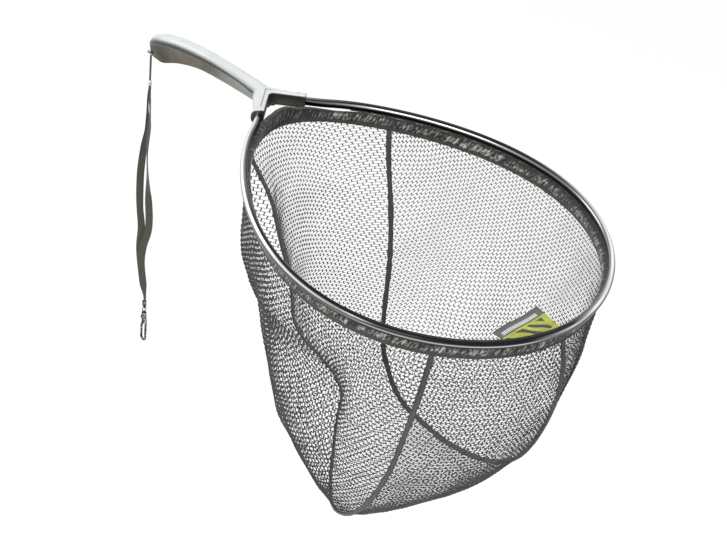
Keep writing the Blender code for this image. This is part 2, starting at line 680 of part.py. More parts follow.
def seam_route(shares, ends):
    scale = (HOOP_HALF_LENGTH, HOOP_HALF_WIDTH, BAG_DEPTH)
    middle = [Vector((a * b for a, b in zip(share, scale))) for share in shares]
    first, last = (beside_hoop(angle, HEM_INSET, -BAG_TOP) for angle in ends)
    return smooth_route([first, *middle, last], PANEL_STEPS)


def along_hem(start, end, share):
    return beside_hoop(start + (end - start) * share, HEM_INSET, -BAG_TOP)


def strip_point(seams, i, w):
    """Strip panel: w runs from the near seam to the far one; its two ends bend into the hem."""
    near, far = seams
    u = i / PANEL_STEPS
    yoke_edge = along_hem(NEAR_SEAM_ENDS[0], FAR_SEAM_ENDS[0], w)
    tip_edge = along_hem(NEAR_SEAM_ENDS[1], FAR_SEAM_ENDS[1] + 2 * math.pi, w)
    point = near[i].lerp(far[i], w)
    point = point + (1 - u) ** 2 * (yoke_edge - near[0].lerp(far[0], w))
    point = point + u ** 2 * (tip_edge - near[-1].lerp(far[-1], w))
    centre = Vector((HOOP_HALF_LENGTH * 0.09, 0, -BAG_DEPTH * 0.34))
    yoke, bottom, tip = STRIP_BULGES
    turn = 0.55
    if u < turn:
        bulge = yoke + (bottom - yoke) * math.sin(math.pi * u / turn / 2) ** 2
    else:
        bulge = tip + (bottom - tip) * math.sin(math.pi * (1 - u) / (1 - turn) / 2) ** 2
    bulge *= min(1.0, u / 0.12, (1 - u) / 0.12)
    return point + (point - centre).normalized() * bulge * 4 * w * (1 - w)


def side_point(seams, near_side, i, b):
    """Side panel: b runs from the hem down to the seam."""
    a = i / PANEL_STEPS
    route = seams[0] if near_side else seams[1]
    step = min(int(i), PANEL_STEPS - 1)
    seam = route[step].lerp(route[step + 1], i - step)
    ends = NEAR_SEAM_ENDS if near_side else FAR_SEAM_ENDS
    outward = Vector((-0.25, -1, -0.35)) if near_side else Vector((0.3, 1, -0.35))
    bulge = NEAR_SIDE_BULGE if near_side else FAR_SIDE_BULGE
    swell = bulge * math.sin(math.pi * a) ** 0.7 * math.sin(math.pi * b ** 0.9)
    return along_hem(*ends, a).lerp(seam, b) + outward.normalized() * swell


def seam_frame(route, i, into_strip, into_side):
    """Tangent, width and thickness directions of a seam tape; its two ends stand upright."""
    before, after = route[max(0, i - 1)], route[min(PANEL_STEPS, i + 1)]
    tangent = (after - before).normalized()
    if i in (0, PANEL_STEPS):
        tangent = Vector((0, 0, -1 if i == 0 else 1))
    width = into_strip.normalized() - into_side.normalized()
    width = (width - width.dot(tangent) * tangent).normalized()
    return tangent, width, tangent.cross(width)


def edge_inset(direction, frame):
    """How far along direction a panel's edge stops short of the seam line to clear its tape."""
    tangent, width, thick = frame
    wide, deep = abs(direction.dot(width)), abs(direction.dot(thick))
    flat = max(0.02, math.hypot(wide, deep))
    cosine, sine = max(0.02, wide / flat), max(0.02, deep / flat)
    past_side = (TAPE_WIDTH / 2 + FIT + MESH_THICKNESS / 2 * sine) / cosine
    past_face = (TAPE_THICKNESS / 2 + FIT + MESH_THICKNESS / 2 * cosine) / sine
    return min(past_side, past_face) / flat


def seam_frames(seams, near_side):
    """For each step of a seam: the tape's frame and both panels' insets as shares of their spans."""
    route = seams[0] if near_side else seams[1]
    tiny = 0.04
    rows = []
    for i in range(PANEL_STEPS + 1):
        edge, inside = (0, tiny) if near_side else (1, 1 - tiny)
        j = min(max(i, 1), PANEL_STEPS - 1)
        into_strip = strip_point(seams, j, inside) - strip_point(seams, j, edge)
        into_side = side_point(seams, near_side, j, 1 - tiny) - side_point(seams, near_side, j, 1)
        frame = seam_frame(route, i, into_strip, into_side)
        strip_inset = edge_inset(into_strip.normalized(), frame) / (into_strip.length / tiny)
        side_inset = edge_inset(into_side.normalized(), frame) / (into_side.length / tiny)
        rows.append((frame, strip_inset, side_inset))
    return rows


def crossing_lines(count, bar):
    """Shares across a panel where its bars and openings begin and end, and which spans are open."""
    lines = [0, bar]
    for k in range(1, count):
        lines += [k / count - bar / 2, k / count + bar / 2]
    lines += [1 - bar, 1]
    return lines, [k % 2 == 1 for k in range(len(lines) - 1)]


def running_lines(first, last, count, bar):
    """Rows along a panel, in seam steps: each opening starts with a bar, and the last ends with one."""
    span = (last - first) // count
    lines = list(range(first + 1))
    opened = [False] * first
    for k in range(count):
        start = first + k * span
        lines += [start + bar, *range(start + 1, start + span)]
        opened += [False] + [True] * (span - 1)
        end = start + span
        if k == count - 1:
            lines.append(end - bar)
            opened += [True, False]
        else:
            opened.append(True)
        lines.append(end)
    rest = range(last + 1, PANEL_STEPS + 1)
    return lines + list(rest), opened + [False] * len(rest)


def between_rows(grid, lines):
    """Rows at places between those of a grid."""
    rows = []
    for place in lines:
        k = min(int(place), len(grid) - 2)
        rows.append([a.lerp(b, place - k) for a, b in zip(grid[k], grid[k + 1])])
    return rows


def shell(name, grid, open_rows, open_columns, material, parent):
    """A thin closed sheet with openings over a grid of points, half its thickness to either side."""
    rows, columns = len(grid), len(grid[0])
    faces, front, back = [], [], []
    for i in range(rows):
        for j in range(columns):
            down = grid[min(i + 1, rows - 1)][j] - grid[max(i - 1, 0)][j]
            across = grid[i][min(j + 1, columns - 1)] - grid[i][max(j - 1, 0)]
            normal = down.cross(across).normalized()
            if abs(grid[i][j].z + BAG_TOP) < FIT / 2:
                normal = Vector((normal.x, normal.y, 0)).normalized()
            front.append(grid[i][j] + normal * MESH_THICKNESS / 2)
            back.append(grid[i][j] - normal * MESH_THICKNESS / 2)
    count = len(front)

    def solid(i, j):
        return 0 <= i < rows - 1 and 0 <= j < columns - 1 and not (open_rows[i] and open_columns[j])

    for i in range(rows - 1):
        for j in range(columns - 1):
            if not solid(i, j):
                continue
            k = i * columns + j
            corners = (k, k + 1, k + columns + 1, k + columns)
            faces.append(corners)
            faces.append(tuple(count + corner for corner in reversed(corners)))
            beyond = ((i - 1, j), (i, j + 1), (i + 1, j), (i, j - 1))
            for side, neighbour in enumerate(beyond):
                if not solid(*neighbour):
                    here, there = corners[side], corners[(side + 1) % 4]
                    faces.append((here, count + here, count + there, there))
    return add_piece(name, front + back, faces, material, parent)


def mean_step(route):
    return sum((b - a).length for a, b in zip(route, route[1:])) / PANEL_STEPS


def make_strip(seams, frames, material, parent):
    middle = [strip_point(seams, i, 0.5) for i in range(PANEL_STEPS + 1)]
    widest = max((far - near).length for near, far in zip(*seams))
    along, open_rows = running_lines(0, PANEL_STEPS, STRIP_OPENINGS[0], MESH_BAR / mean_step(middle))
    across, open_columns = crossing_lines(STRIP_OPENINGS[1], MESH_BAR / widest)
    grid = []
    for i in range(PANEL_STEPS + 1):
        start, end = frames[0][i][1], 1 - frames[1][i][1]
        grid.append([strip_point(seams, i, start + (end - start) * share) for share in across])
    return shell("bag_strip", between_rows(grid, along), open_rows, open_columns, material, parent)


def make_side(name, seams, frames, near_side, material, parent):
    """Rows run from the hem to the tape; the first and last are short, where the seam meets the hem."""
    short = 0.10
    spare = 1.38
    first, last = (spare * max(frames[i][2], frames[j][2]) / (1 - short) for i, j in ((0, 1), (-1, -2)))
    rows = [(first, short)]
    rows += [(i, 1 - frames[i][2]) for i in range(1, PANEL_STEPS)]
    rows.append((PANEL_STEPS - last, short))
    hem = [side_point(seams, near_side, i, 0) for i in range(PANEL_STEPS + 1)]
    route = seams[0] if near_side else seams[1]
    deepest = max((a - b).length for a, b in zip(hem, route))
    along, open_rows = running_lines(1, PANEL_STEPS - 1, SIDE_OPENINGS[0], MESH_BAR / mean_step(hem))
    across, open_columns = crossing_lines(SIDE_OPENINGS[1], MESH_BAR / deepest)
    grid = [[side_point(seams, near_side, i, end * share) for share in across] for i, end in rows]
    return shell(name, between_rows(grid, along), open_rows, open_columns, material, parent)


def make_tape(name, route, frames, material, parent):
    rings = []
    half_w, half_t = TAPE_WIDTH / 2, TAPE_THICKNESS / 2
    shape = ((-1, -0.3), (-0.8, -1), (0.8, -1), (1, -0.3), (1, 0.3), (0.8, 1), (-0.8, 1), (-1, 0.3))
    for i, point in enumerate(route):
        tangent, width, thick = frames[i][0]
        rings.append([point + a * half_w * width + b * half_t * thick for a, b in shape])
    return loft(name, rings, material, parent)


def make_label(material, parent):
    """A tag sewn to the inner face of the hem; it hangs inwards, nearly level."""
    outward = hoop_outward(LABEL_AT)
    inward = Matrix.Rotation(LABEL_SKEW, 3, "Z") @ -outward
    along = Vector((inward.y, -inward.x, 0))
    inner = HEM_INSET + HEM_THICKNESS / 2 + FIT
    nose_radius = HOOP_HALF_WIDTH * (1 + NOSE_FULLNESS + SIDE_FULLNESS)
    half_turn = LABEL_LENGTH / nose_radius / 2
    edge = [beside_hoop(LABEL_AT + share * half_turn, inner, -HEM_TOP - LABEL_DROP)
            for share in (-1, -0.5, 0, 0.5, 1)]
    middle = edge[2]
    outline = [((point - middle).dot(along), (point - middle).dot(inward)) for point in edge]
    outline += [(outline[-1][0], LABEL_REACH), (outline[0][0], LABEL_REACH)]

    def place(a, b, height):
        return middle + a * along + b * inward + Vector((0, 0, height + LABEL_RISE * b))

    return prism("label", outline, -LABEL_THICKNESS / 2, LABEL_THICKNESS / 2, material, parent, place)


# Lanyard

def make_cord(material, parent, swing):
    """The cord through the butt: round the end on both sides, then two legs down to the crimp."""
    half = LEG_SPACING / 2
    top = HANG + Vector((0, 0, CORD_RADIUS + FIT))
    side = [HANG + Vector((x, y, z)) for x, y, z in (
        (-0.0003, half, 0.0030), (0.0000, 0.0026, 0.0056), (0.0022, 0.0056, 0.0078),
        (0.0056, 0.0086, 0.0090), (0.0088, 0.0098, 0.0100))]
    seat = HOLE + (CORD_HOLE_RADIUS - CORD_RADIUS - FIT) * HANG_AT.normalized()
    turn = [seat + Vector((-0.0004, 0.0094, -0.0002)), seat + Vector((0, 0.0080, 0)), seat]
    half_route = [top + Vector((0, half, 0)), *side, *turn]
    route = half_route + [mirror_y(point) for point in reversed(half_route[:-1])]
    cord_tube("cord_loop", smooth_route(route, 30), CORD_RADIUS, material, parent)
    foot = SWAY + Vector((0, 0, CRIMP_RADIUS + FIT))
    for name, y in (("cord_leg_left", half), ("cord_leg_right", -half)):
        start, end = HANG + Vector((0, y, CORD_RADIUS)), foot + Vector((0, y, 0))
        points = [start.lerp(end, share) for share in (0, 0.2, 0.4, 0.6, 0.8, 1)]
        cord_tube(name, points, CORD_RADIUS, material, swing, round_start=True)


def webbing_pocket(name, foot, low, high, parent):
    """Cutter for the two webbing ends, side by side, with a fit all round."""
    half_x = RUN_OFFSET + WEBBING_THICKNESS / 2 + FIT
    half_y = WEBBING_END_WIDTH / 2 + FIT
    outline = [(foot.x + a * half_x, foot.y + b * half_y) for a, b in ((1, 1), (-1, 1), (-1, -1), (1, -1))]
    return prism(name, outline, low, high, None, parent)


def make_crimp(material, parent):
    """Metal ferrule: a domed top that rolls under the cord's legs, and a pocket for the webbing."""
    edge = 0.0004
    tilts = [math.radians(a) for a in (10, 30, 50, 70, 90)]
    profile = [(CRIMP_RADIUS * math.sin(a), CRIMP_RADIUS * math.cos(a)) for a in tilts]
    profile += [(CRIMP_RADIUS, -CRIMP_DROP + edge), (CRIMP_RADIUS - edge, -CRIMP_DROP)]
    crimp = turned("cord_crimp", profile, SWAY, material, parent)
    bottom = SWAY.z - CRIMP_DROP
    combine(crimp, webbing_pocket("crimp_pocket", HANG, bottom - 0.002, bottom + POCKET_DEPTH, parent), "DIFFERENCE")
    return crimp


def make_webbing(name, run, material, parent):
    """One run of flat webbing, swept down through its places and twists."""
    rings = []
    rows = smooth_values(run, 3)
    for share, sideways, deep, twist in rows:
        travelled = share * WEBBING_LENGTH
        end_gap = min(travelled, WEBBING_LENGTH - travelled)
        width = WEBBING_END_WIDTH + (WEBBING_WIDTH - WEBBING_END_WIDTH) * ease(end_gap, 0.004, WEBBING_TAPER)
        facing = WEBBING_FACING + math.radians(twist)
        across = Vector((math.cos(facing), math.sin(facing), 0)) * width / 2
        through = Vector((math.sin(facing), -math.cos(facing), 0)) * WEBBING_THICKNESS / 2
        lateral = Vector((math.cos(WEBBING_FACING), math.sin(WEBBING_FACING), 0))
        depth = Vector((math.sin(WEBBING_FACING), -math.cos(WEBBING_FACING), 0))
        centre = Vector((HANG.x, 0, WEBBING_TOP - travelled)) + sideways * lateral + deep * depth
        rings.append([centre + a * across + b * through for a, b in ((1, 1), (-1, 1), (-1, -1), (1, -1))])
    return loft(name, rings, material, parent)


def make_clamp(material, parent):
    """Metal clamp over the webbing's lower ends, with the lug that the swivel's ring hangs in."""
    half_x = RUN_OFFSET + WEBBING_THICKNESS / 2 + FIT + CLAMP_WALL
    half_y = WEBBING_END_WIDTH / 2 + FIT + CLAMP_WALL
    cut = 0.0006
    outline = []
    for a, b in ((1, 1), (-1, 1), (-1, -1), (1, -1)):
        corner = [(a * half_x, b * (half_y - cut)), (a * (half_x - cut), b * half_y)]
        outline += corner if a * b > 0 else reversed(corner)
    outline = [(CLIP.x + x, CLIP.y + y) for x, y in outline]
    low = CLAMP_TOP - CLAMP_HEIGHT
    clamp = prism("webbing_clamp", outline, low, CLAMP_TOP, material, parent)
    radius = LUG_HOLE_RADIUS + LUG_WEB
    steps = 10
    arc = [math.pi + math.pi * i / steps for i in range(steps + 1)]
    lug_outline = [(radius * math.cos(a), radius * math.sin(a)) for a in arc]
    neck = low - LUG_HOLE + 0.001
    lug_outline += [(radius, neck), (-radius, neck)]
    centre = CLIP + Vector((0, 0, LUG_HOLE))
    combine(clamp, flat_plate("lug", lug_outline, LUG_THICKNESS, None, parent, centre), "UNION")
    across = Vector((0, LUG_THICKNESS, 0))
    hole = cylinder("lug_hole", centre - across, centre + across, LUG_HOLE_RADIUS, None, parent)
    combine(clamp, hole, "DIFFERENCE")
    pocket = webbing_pocket("clamp_pocket", CLIP, CLAMP_TOP - POCKET_DEPTH, CLAMP_TOP + 0.002, parent)
    combine(clamp, pocket, "DIFFERENCE")
    return clamp


def make_swivel(material, parent):
    """Oval wire ring with a stem whose head is trapped in the hook's boss."""
    rings = []
    steps = 8
    for start, height in ((0, TILT.z - RING_HALF_WIDTH), (math.pi, RING_LOW + RING_HALF_WIDTH)):
        for i in range(steps + 1):
            a = start + math.pi * i / steps
            out = Vector((0, math.cos(a), math.sin(a)))
            place = CLIP + Vector((0, 0, height)) + RING_HALF_WIDTH * out
            turns = [2 * math.pi * k / 8 for k in range(8)]
            rings.append([place + RING_WIRE_RADIUS * (math.cos(b) * out + math.sin(b) * Vector((1, 0, 0)))
                          for b in turns])
    swivel = loft("swivel_eye", rings, material, parent, closed=True)
    head_top = BOSS_TOP.z - BOSS_HEIGHT - FIT
    profile = ((STEM_RADIUS, RING_LOW), (STEM_RADIUS, head_top), (STEM_HEAD_RADIUS, head_top),
               (STEM_HEAD_RADIUS, head_top - STEM_HEAD_HEIGHT * 0.6),
               (STEM_HEAD_RADIUS * 0.6, head_top - STEM_HEAD_HEIGHT))
    combine(swivel, turned("swivel_stem", profile, CLIP, None, parent, sides=12), "UNION")
    return swivel


def hook_wire_rings():
    """The J of the hook: shank, round bottom and the short arm up to the tip."""
    w = HOOK_HALF_WIDTH
    bottom = -HOOK_HEIGHT + HOOK_WIRE / 2 + w
    tip = GATE_PIVOT.z - GATE_LENGTH + 0.0012
    stations = [((w, GATE_PIVOT.z - 0.004), (1, 0)), ((w, (bottom + GATE_PIVOT.z) / 2), (1, 0))]
    steps = 12
    for i in range(steps + 1):
        a = -math.pi * i / steps
        stations.append(((w * math.cos(a), bottom + w * math.sin(a)), (math.cos(a), math.sin(a))))
    stations += [((-w, tip - 0.0008), (-1, 0)), ((-w - 0.0002, tip), (-1, 0))]
    rings = []
    for k, ((x, z), (out_x, out_z)) in enumerate(stations):
        slim = 0.55 if k == len(stations) - 1 else 1.0
        ring = []
        for i in range(10):
            b = 2 * math.pi * (i + 0.5) / 10
            reach, y = HOOK_WIRE / 2 * slim * math.cos(b), HOOK_THICKNESS / 2 * slim * math.sin(b)
            ring.append(BOSS_TOP + Vector((x + reach * out_x, y, z + reach * out_z)))
        rings.append(ring)
    return rings


def make_hook(material, parent):
    """Snap hook: boss, a window for the stem's head, a fork for the gate and the J below."""
    b, w, t = BOSS_RADIUS, HOOK_HALF_WIDTH, HOOK_WIRE / 2
    pin = GATE_PIVOT
    shoulder = -BOSS_HEIGHT - WINDOW_HEIGHT
    root = pin.z - 0.0055
    outline = [(-b * 0.9, -BOSS_HEIGHT * 0.8), (b * 0.9, -BOSS_HEIGHT * 0.8), (b, -BOSS_HEIGHT * 1.5),
               (b, shoulder), (w + t * 0.9, root + 0.002), (w + t, root), (w - t, root),
               (w - t * 2, pin.z - 0.0022), (pin.x + 0.0028, pin.z - 0.0014), (pin.x + 0.0010, pin.z - 0.0020),
               (pin.x - 0.0018, pin.z - 0.0016), (pin.x - 0.0020, pin.z + 0.0008), (-b, shoulder + 0.0006),
               (-b, -BOSS_HEIGHT * 1.5)]
    hook = flat_plate("snap_hook", outline, HOOK_THICKNESS, material, parent, BOSS_TOP)
    profile = ((b - 0.0005, -BOSS_HEIGHT), (b, -BOSS_HEIGHT + 0.0005), (b, -0.0005), (b - 0.0005, 0))
    combine(hook, turned("hook_boss", profile, BOSS_TOP, None, parent), "UNION")
    combine(hook, loft("hook_wire", hook_wire_rings(), None, parent), "UNION")
    down = Vector((0, 0, BOSS_HEIGHT + 0.001))
    bore = cylinder("hook_bore", BOSS_TOP - down, BOSS_TOP + down, STEM_RADIUS + FIT, None, parent)
    combine(hook, bore, "DIFFERENCE")
    half = STEM_HEAD_RADIUS + FIT + 0.0001
    window = ((-half, -BOSS_HEIGHT), (half, -BOSS_HEIGHT), (half, -BOSS_HEIGHT - WINDOW_HEIGHT * 0.5),
              (half * 0.4, -BOSS_HEIGHT - WINDOW_HEIGHT), (-half * 0.4, -BOSS_HEIGHT - WINDOW_HEIGHT),
              (-half, -BOSS_HEIGHT - WINDOW_HEIGHT * 0.5))
    combine(hook, flat_plate("hook_window", window, 0.02, None, parent, BOSS_TOP), "DIFFERENCE")
    low, high = pin.z - 0.006, pin.z + GATE_EYE_RADIUS + 0.0004
    fork = ((pin.x - 0.004, low), (pin.x + 0.0030, low), (pin.x + 0.0030, high), (pin.x - 0.004, high))
    slot = GATE_TONGUE + 2 * FIT
    combine(hook, flat_plate("hook_fork", fork, slot, None, parent, BOSS_TOP), "DIFFERENCE")
    place, across = BOSS_TOP + pin, Vector((0, HOOK_THICKNESS, 0))
    hole = cylinder("hook_pin_hole", place - across, place + across, GATE_PIN_RADIUS + FIT, None, parent, sides=12)
    combine(hook, hole, "DIFFERENCE")
    return hook


def make_gate(material, steel, parent, hook_axis):
    """The gate: an eye on its pin, a tongue in the fork and a bar that closes inside the tip."""
    pin = GATE_PIVOT
    inner = -HOOK_HALF_WIDTH + HOOK_WIRE / 2 + FIT
    top, low = pin.z - 0.0027, pin.z - GATE_LENGTH
    steps = 8
    arc = [math.pi * i / steps for i in range(steps + 1)]
    eye = [(pin.x + GATE_EYE_RADIUS * math.cos(a), pin.z + GATE_EYE_RADIUS * math.sin(a)) for a in arc]
    tongue = eye + [(pin.x - GATE_EYE_RADIUS * 0.7, top - 0.001), (inner + GATE_THICKNESS - 0.0002, top - 0.001)]
    gate = flat_plate("hook_gate", tongue, GATE_TONGUE, material, parent, BOSS_TOP)
    bar = ((inner, top), (inner + GATE_THICKNESS, top), (inner + GATE_THICKNESS, low + 0.0004),
           (inner + GATE_THICKNESS - 0.0004, low), (inner, low))
    combine(gate, flat_plate("gate_bar", bar, HOOK_THICKNESS - 0.0004, None, parent, BOSS_TOP), "UNION")
    place, across = BOSS_TOP + pin, Vector((0, HOOK_THICKNESS / 2 + 0.0002, 0))
    hole = cylinder("gate_pin_hole", place - 2 * across, place + 2 * across, GATE_PIN_RADIUS + FIT, None, parent,
                    sides=12)
    combine(gate, hole, "DIFFERENCE")
    cylinder("gate_pin", place - across, place + across, GATE_PIN_RADIUS, steel, hook_axis, sides=12)


def build():
    remove_everything()
    moulding = finish("moulded_grip", (0.66, 0.68, 0.66), 0.45, 0.2)
    metal = finish("gunmetal_tube", (0.30, 0.31, 0.32), 0.22, 1.0)
    net = finish("black_mesh", (0.10, 0.10, 0.11), 0.75)
    tape = finish("black_tape", (0.06, 0.06, 0.065), 0.8)
    tag = finish("label_cloth", (0.62, 0.74, 0.16), 0.8)
    steel = finish("plated_steel", (0.62, 0.62, 0.60), 0.3, 1.0)
    webbing = finish("grey_webbing", (0.29, 0.29, 0.27), 0.85)
    frame = place_hoop_frame()
    make_hoop(metal, frame)
    make_handle(moulding, frame)
    for side, point in screw_places():
        make_screw(side, point, steel, frame)
    make_welt(tape, frame)
    make_hem_band(net, frame)
    make_binding(tape, frame)
    seams = (seam_route(NEAR_SEAM, NEAR_SEAM_ENDS), seam_route(FAR_SEAM, FAR_SEAM_ENDS))
    frames = (seam_frames(seams, True), seam_frames(seams, False))
    make_strip(seams, frames, net, frame)
    make_side("bag_side_near", seams, frames[0], True, net, frame)
    make_side("bag_side_far", seams, frames[1], False, net, frame)
    make_tape("seam_tape_near", seams[0], frames[0], tape, frame)
    make_tape("seam_tape_far", seams[1], frames[1], tape, frame)
    make_label(tag, frame)
    swing = place_axis("swing_axis", HANG, frame)
    sway = place_axis("sway_axis", SWAY, swing)
    tilt = place_axis("tilt_axis", TILT, sway)
    spin = place_axis("spin_axis", BOSS_TOP, tilt)
    gate = place_axis("gate_axis", BOSS_TOP + GATE_PIVOT, spin)
    make_cord(tape, frame, swing)
    make_crimp(steel, sway)
    make_webbing("webbing_left", LEFT_RUN, webbing, sway)
    make_webbing("webbing_right", RIGHT_RUN, webbing, sway)
    make_clamp(steel, sway)
    make_swivel(steel, tilt)
    make_hook(steel, spin)
    make_gate(steel, steel, gate, spin)


build()
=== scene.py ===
"""Looks of the wading net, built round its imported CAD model.

Metres, +Z up. The net hangs as a hand would hold it by the grip: the hoop lies level, the bag and the
lanyard hang below. Places that follow the hoop are worked out from its centre and moved to the frame's
origin when a piece is made.
"""
import math

import bmesh
import bpy
import numpy as np
from mathutils import Matrix, Vector, noise


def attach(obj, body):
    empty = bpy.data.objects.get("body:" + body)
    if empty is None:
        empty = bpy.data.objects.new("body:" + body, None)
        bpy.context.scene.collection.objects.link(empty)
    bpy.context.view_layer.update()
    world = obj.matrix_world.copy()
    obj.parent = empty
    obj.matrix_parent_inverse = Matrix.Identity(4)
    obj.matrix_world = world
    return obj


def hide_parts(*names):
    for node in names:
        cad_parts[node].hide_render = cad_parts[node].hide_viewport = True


noise.seed_set(1)       # the netting's uneven knots and folds are drawn from this
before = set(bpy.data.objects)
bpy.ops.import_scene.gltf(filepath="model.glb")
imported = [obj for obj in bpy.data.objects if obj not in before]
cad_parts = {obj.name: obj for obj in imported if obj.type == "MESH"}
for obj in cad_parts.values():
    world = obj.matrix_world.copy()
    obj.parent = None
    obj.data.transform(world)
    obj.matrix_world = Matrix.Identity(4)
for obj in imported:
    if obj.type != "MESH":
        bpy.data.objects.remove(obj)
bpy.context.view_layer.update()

MM = 0.001
HOOP_CENTRE = Vector((0.370, 0, 0.013))


def linked(name, data):
    """A new object in the scene."""
    made = bpy.data.objects.new(name, data)
    bpy.context.scene.collection.objects.link(made)
    return made


# Camera and light

def sight(name, lens_mm, place, looking, up):
    """The camera at the photograph's viewing angle."""
    data = bpy.data.cameras.new(name)
    data.lens = lens_mm
    data.sensor_width = 36
    data.clip_start = 0.05
    data.clip_end = 50
    camera = linked(name, data)
    back = -looking.normalized()
    right = up.cross(back).normalized()
    turn = Matrix((right, back.cross(right), back)).transposed()
    camera.matrix_world = Matrix.Translation(place) @ turn.to_4x4()
    bpy.context.scene.camera = camera


sight("photo_camera", 89.13, HOOP_CENTRE + Vector((1.0591, -1.0884, 1.0723)),
      Vector((-0.5698, 0.5537, -0.6073)), Vector((-0.5226, 0.3263, 0.7877)))


def sheet_lamp(name, place, aim, size, power):
    data = bpy.data.lights.new(name, "AREA")
    data.shape = "RECTANGLE"
    data.size, data.size_y = size
    data.energy = power
    lamp = linked(name, data)
    lamp.location = place
    lamp.rotation_euler = (Vector(aim) - Vector(place)).to_track_quat("-Z", "Y").to_euler()


sheet_lamp("overhead_softbox", (0.1, 0.5, 1.9), (0.3, 0, 0), (1.2, 1.2), 26)
sheet_lamp("front_softbox", (0.9, -1.9, 0.9), (0.3, 0, -0.1), (1.4, 1.0), 24)
sheet_lamp("left_softbox", (-1.7, -0.7, 0.7), (0.1, 0, -0.1), (0.9, 1.2), 14)


# Nodes

def hex_colour(text):
    """An sRGB hex colour as linear red, green, blue and alpha."""
    parts = [int(text[i:i + 2], 16) / 255 for i in (1, 3, 5)]
    return (*[c / 12.92 if c <= 0.04045 else ((c + 0.055) / 1.055) ** 2.4 for c in parts], 1)


def feed(node, inputs):
    """Give a node its inputs: values, hex colours, or links from a socket or from a node's first output."""
    for name, value in inputs.items():
        if isinstance(value, bpy.types.Node):
            value = next(socket for socket in value.outputs if socket.enabled)
        if isinstance(value, bpy.types.NodeSocket):
            node.id_data.links.new(value, node.inputs[name])
        else:
            colour = isinstance(value, str) and value.startswith("#")
            node.inputs[name].default_value = hex_colour(value) if colour else value


def put(tree, kind, inputs=None, stops=(), **settings):
    """Add a node with its settings, its inputs, and the (place, hex colour) stops of its ramp."""
    made = tree.nodes.new(kind)
    for name, value in settings.items():
        setattr(made, name, value)
    feed(made, inputs or {})
    if stops:
        steps = made.color_ramp.elements
        while len(steps) < len(stops):
            steps.new(0.5)
        for step, (place, colour) in zip(steps, stops):
            step.position, step.color = place, hex_colour(colour)
    return made


def seen_white(tree):
    """1 for the rays that see the studio as plain white."""
    path = put(tree, "ShaderNodeLightPath")
    share = 0.0
    for ray in ("Is Camera Ray", "Is Glossy Ray", "Is Transmission Ray"):
        share = put(tree, "ShaderNodeMath", {0: share, 1: path.outputs[ray]}, operation="MAXIMUM")
    return share


def light_world():
    """Plain studio: white to the camera, gloss and glass, and a softer fill on rough surfaces."""
    world = bpy.data.worlds.new("studio")
    bpy.context.scene.world = world
    world.use_nodes = True
    tree = world.node_tree
    tree.nodes.clear()
    fill, white = (put(tree, "ShaderNodeBackground", {"Color": "#FFFFFF", "Strength": strength})
                   for strength in (0.55, 1.0))
    both = put(tree, "ShaderNodeMixShader", {0: seen_white(tree), 1: fill, 2: white})
    put(tree, "ShaderNodeOutputWorld", {"Surface": both})


def make_floor():
    """Pale sweep well below the net; it shows white, and keeps a faint soft shadow."""
    mesh = bpy.data.meshes.new("floor")
    far, low = 12, -0.95
    mesh.from_pydata([(-far, -far, low), (far, -far, low), (far, far, low), (-far, far, low)], [], [(0, 1, 2, 3)])
    floor = linked("floor", mesh)
    finish = bpy.data.materials.new("white_paper_sweep")
    finish.use_nodes = True
    tree = finish.node_tree
    tree.nodes.clear()
    share = put(tree, "ShaderNodeMath", {0: seen_white(tree), 1: 0.8}, operation="MULTIPLY")
    paper = put(tree, "ShaderNodeBsdfDiffuse", {"Color": "#F7F7F7"})
    glow = put(tree, "ShaderNodeEmission", {"Color": "#FFFFFF", "Strength": 1.06})
    both = put(tree, "ShaderNodeMixShader", {0: share, 1: paper, 2: glow})
    put(tree, "ShaderNodeOutputMaterial", {"Surface": both})
    mesh.materials.append(finish)


light_world()
make_floor()


# Finishes

WAVE_BANDS = 3.14       # a wave texture at scale 1 has about this many bands to the metre


def new_finish(name, inputs):
    """A Principled material, its node tree and its shader."""
    finish = bpy.data.materials.new(name)
    finish.use_nodes = True
    shader = finish.node_tree.nodes["Principled BSDF"]
    feed(shader, inputs)
    return finish, finish.node_tree, shader


def patterned(name, inputs, patterns, stops, bump, share=0.5, rough=None, turn=0.0):
    """A finish with its tone from one pattern, or from two mixed by share, through a ramp's stops. A pattern
    is its kind, size in metres, inputs and settings; noise lies in space and waves on the UV, turned by turn.
    bump is the pattern to emboss (-1 for the mix), its depth and its strength, and rough the range that the
    first pattern gives the roughness."""
    finish, tree, shader = new_finish(name, inputs)
    space = put(tree, "ShaderNodeTexCoord").outputs["Object"]
    skin = put(tree, "ShaderNodeUVMap", uv_map="metres")
    if turn:
        skin = put(tree, "ShaderNodeMapping", {"Vector": skin, "Rotation": (0, 0, turn)})
    made = []
    for kind, size, more, settings in patterns:
        vector, scale = (skin, 1 / size / WAVE_BANDS) if kind == "Wave" else (space, 1 / size)
        made.append(put(tree, f"ShaderNodeTex{kind}", {"Vector": vector, "Scale": scale, **more}, **settings))
    heights = [texture.outputs["Fac"] for texture in made]
    if len(made) > 1:
        first, second = (texture.outputs["Color"] for texture in made)
        mixed = put(tree, "ShaderNodeMix", {"Factor": share, "A": first, "B": second}, data_type="RGBA")
        heights.append(mixed.outputs["Result"])
    tone = heights[-1]
    which, depth, strength = bump
    feed(shader, {
        "Base Color": put(tree, "ShaderNodeValToRGB", {"Fac": tone}, stops),
        "Normal": put(tree, "ShaderNodeBump", {"Height": heights[which], "Distance": depth, "Strength": strength})})
    if rough:
        feed(shader, {"Roughness": put(tree, "ShaderNodeMapRange", {"Value": heights[0], "To Min": rough[0],
                                                                    "To Max": rough[1]})})
    return finish


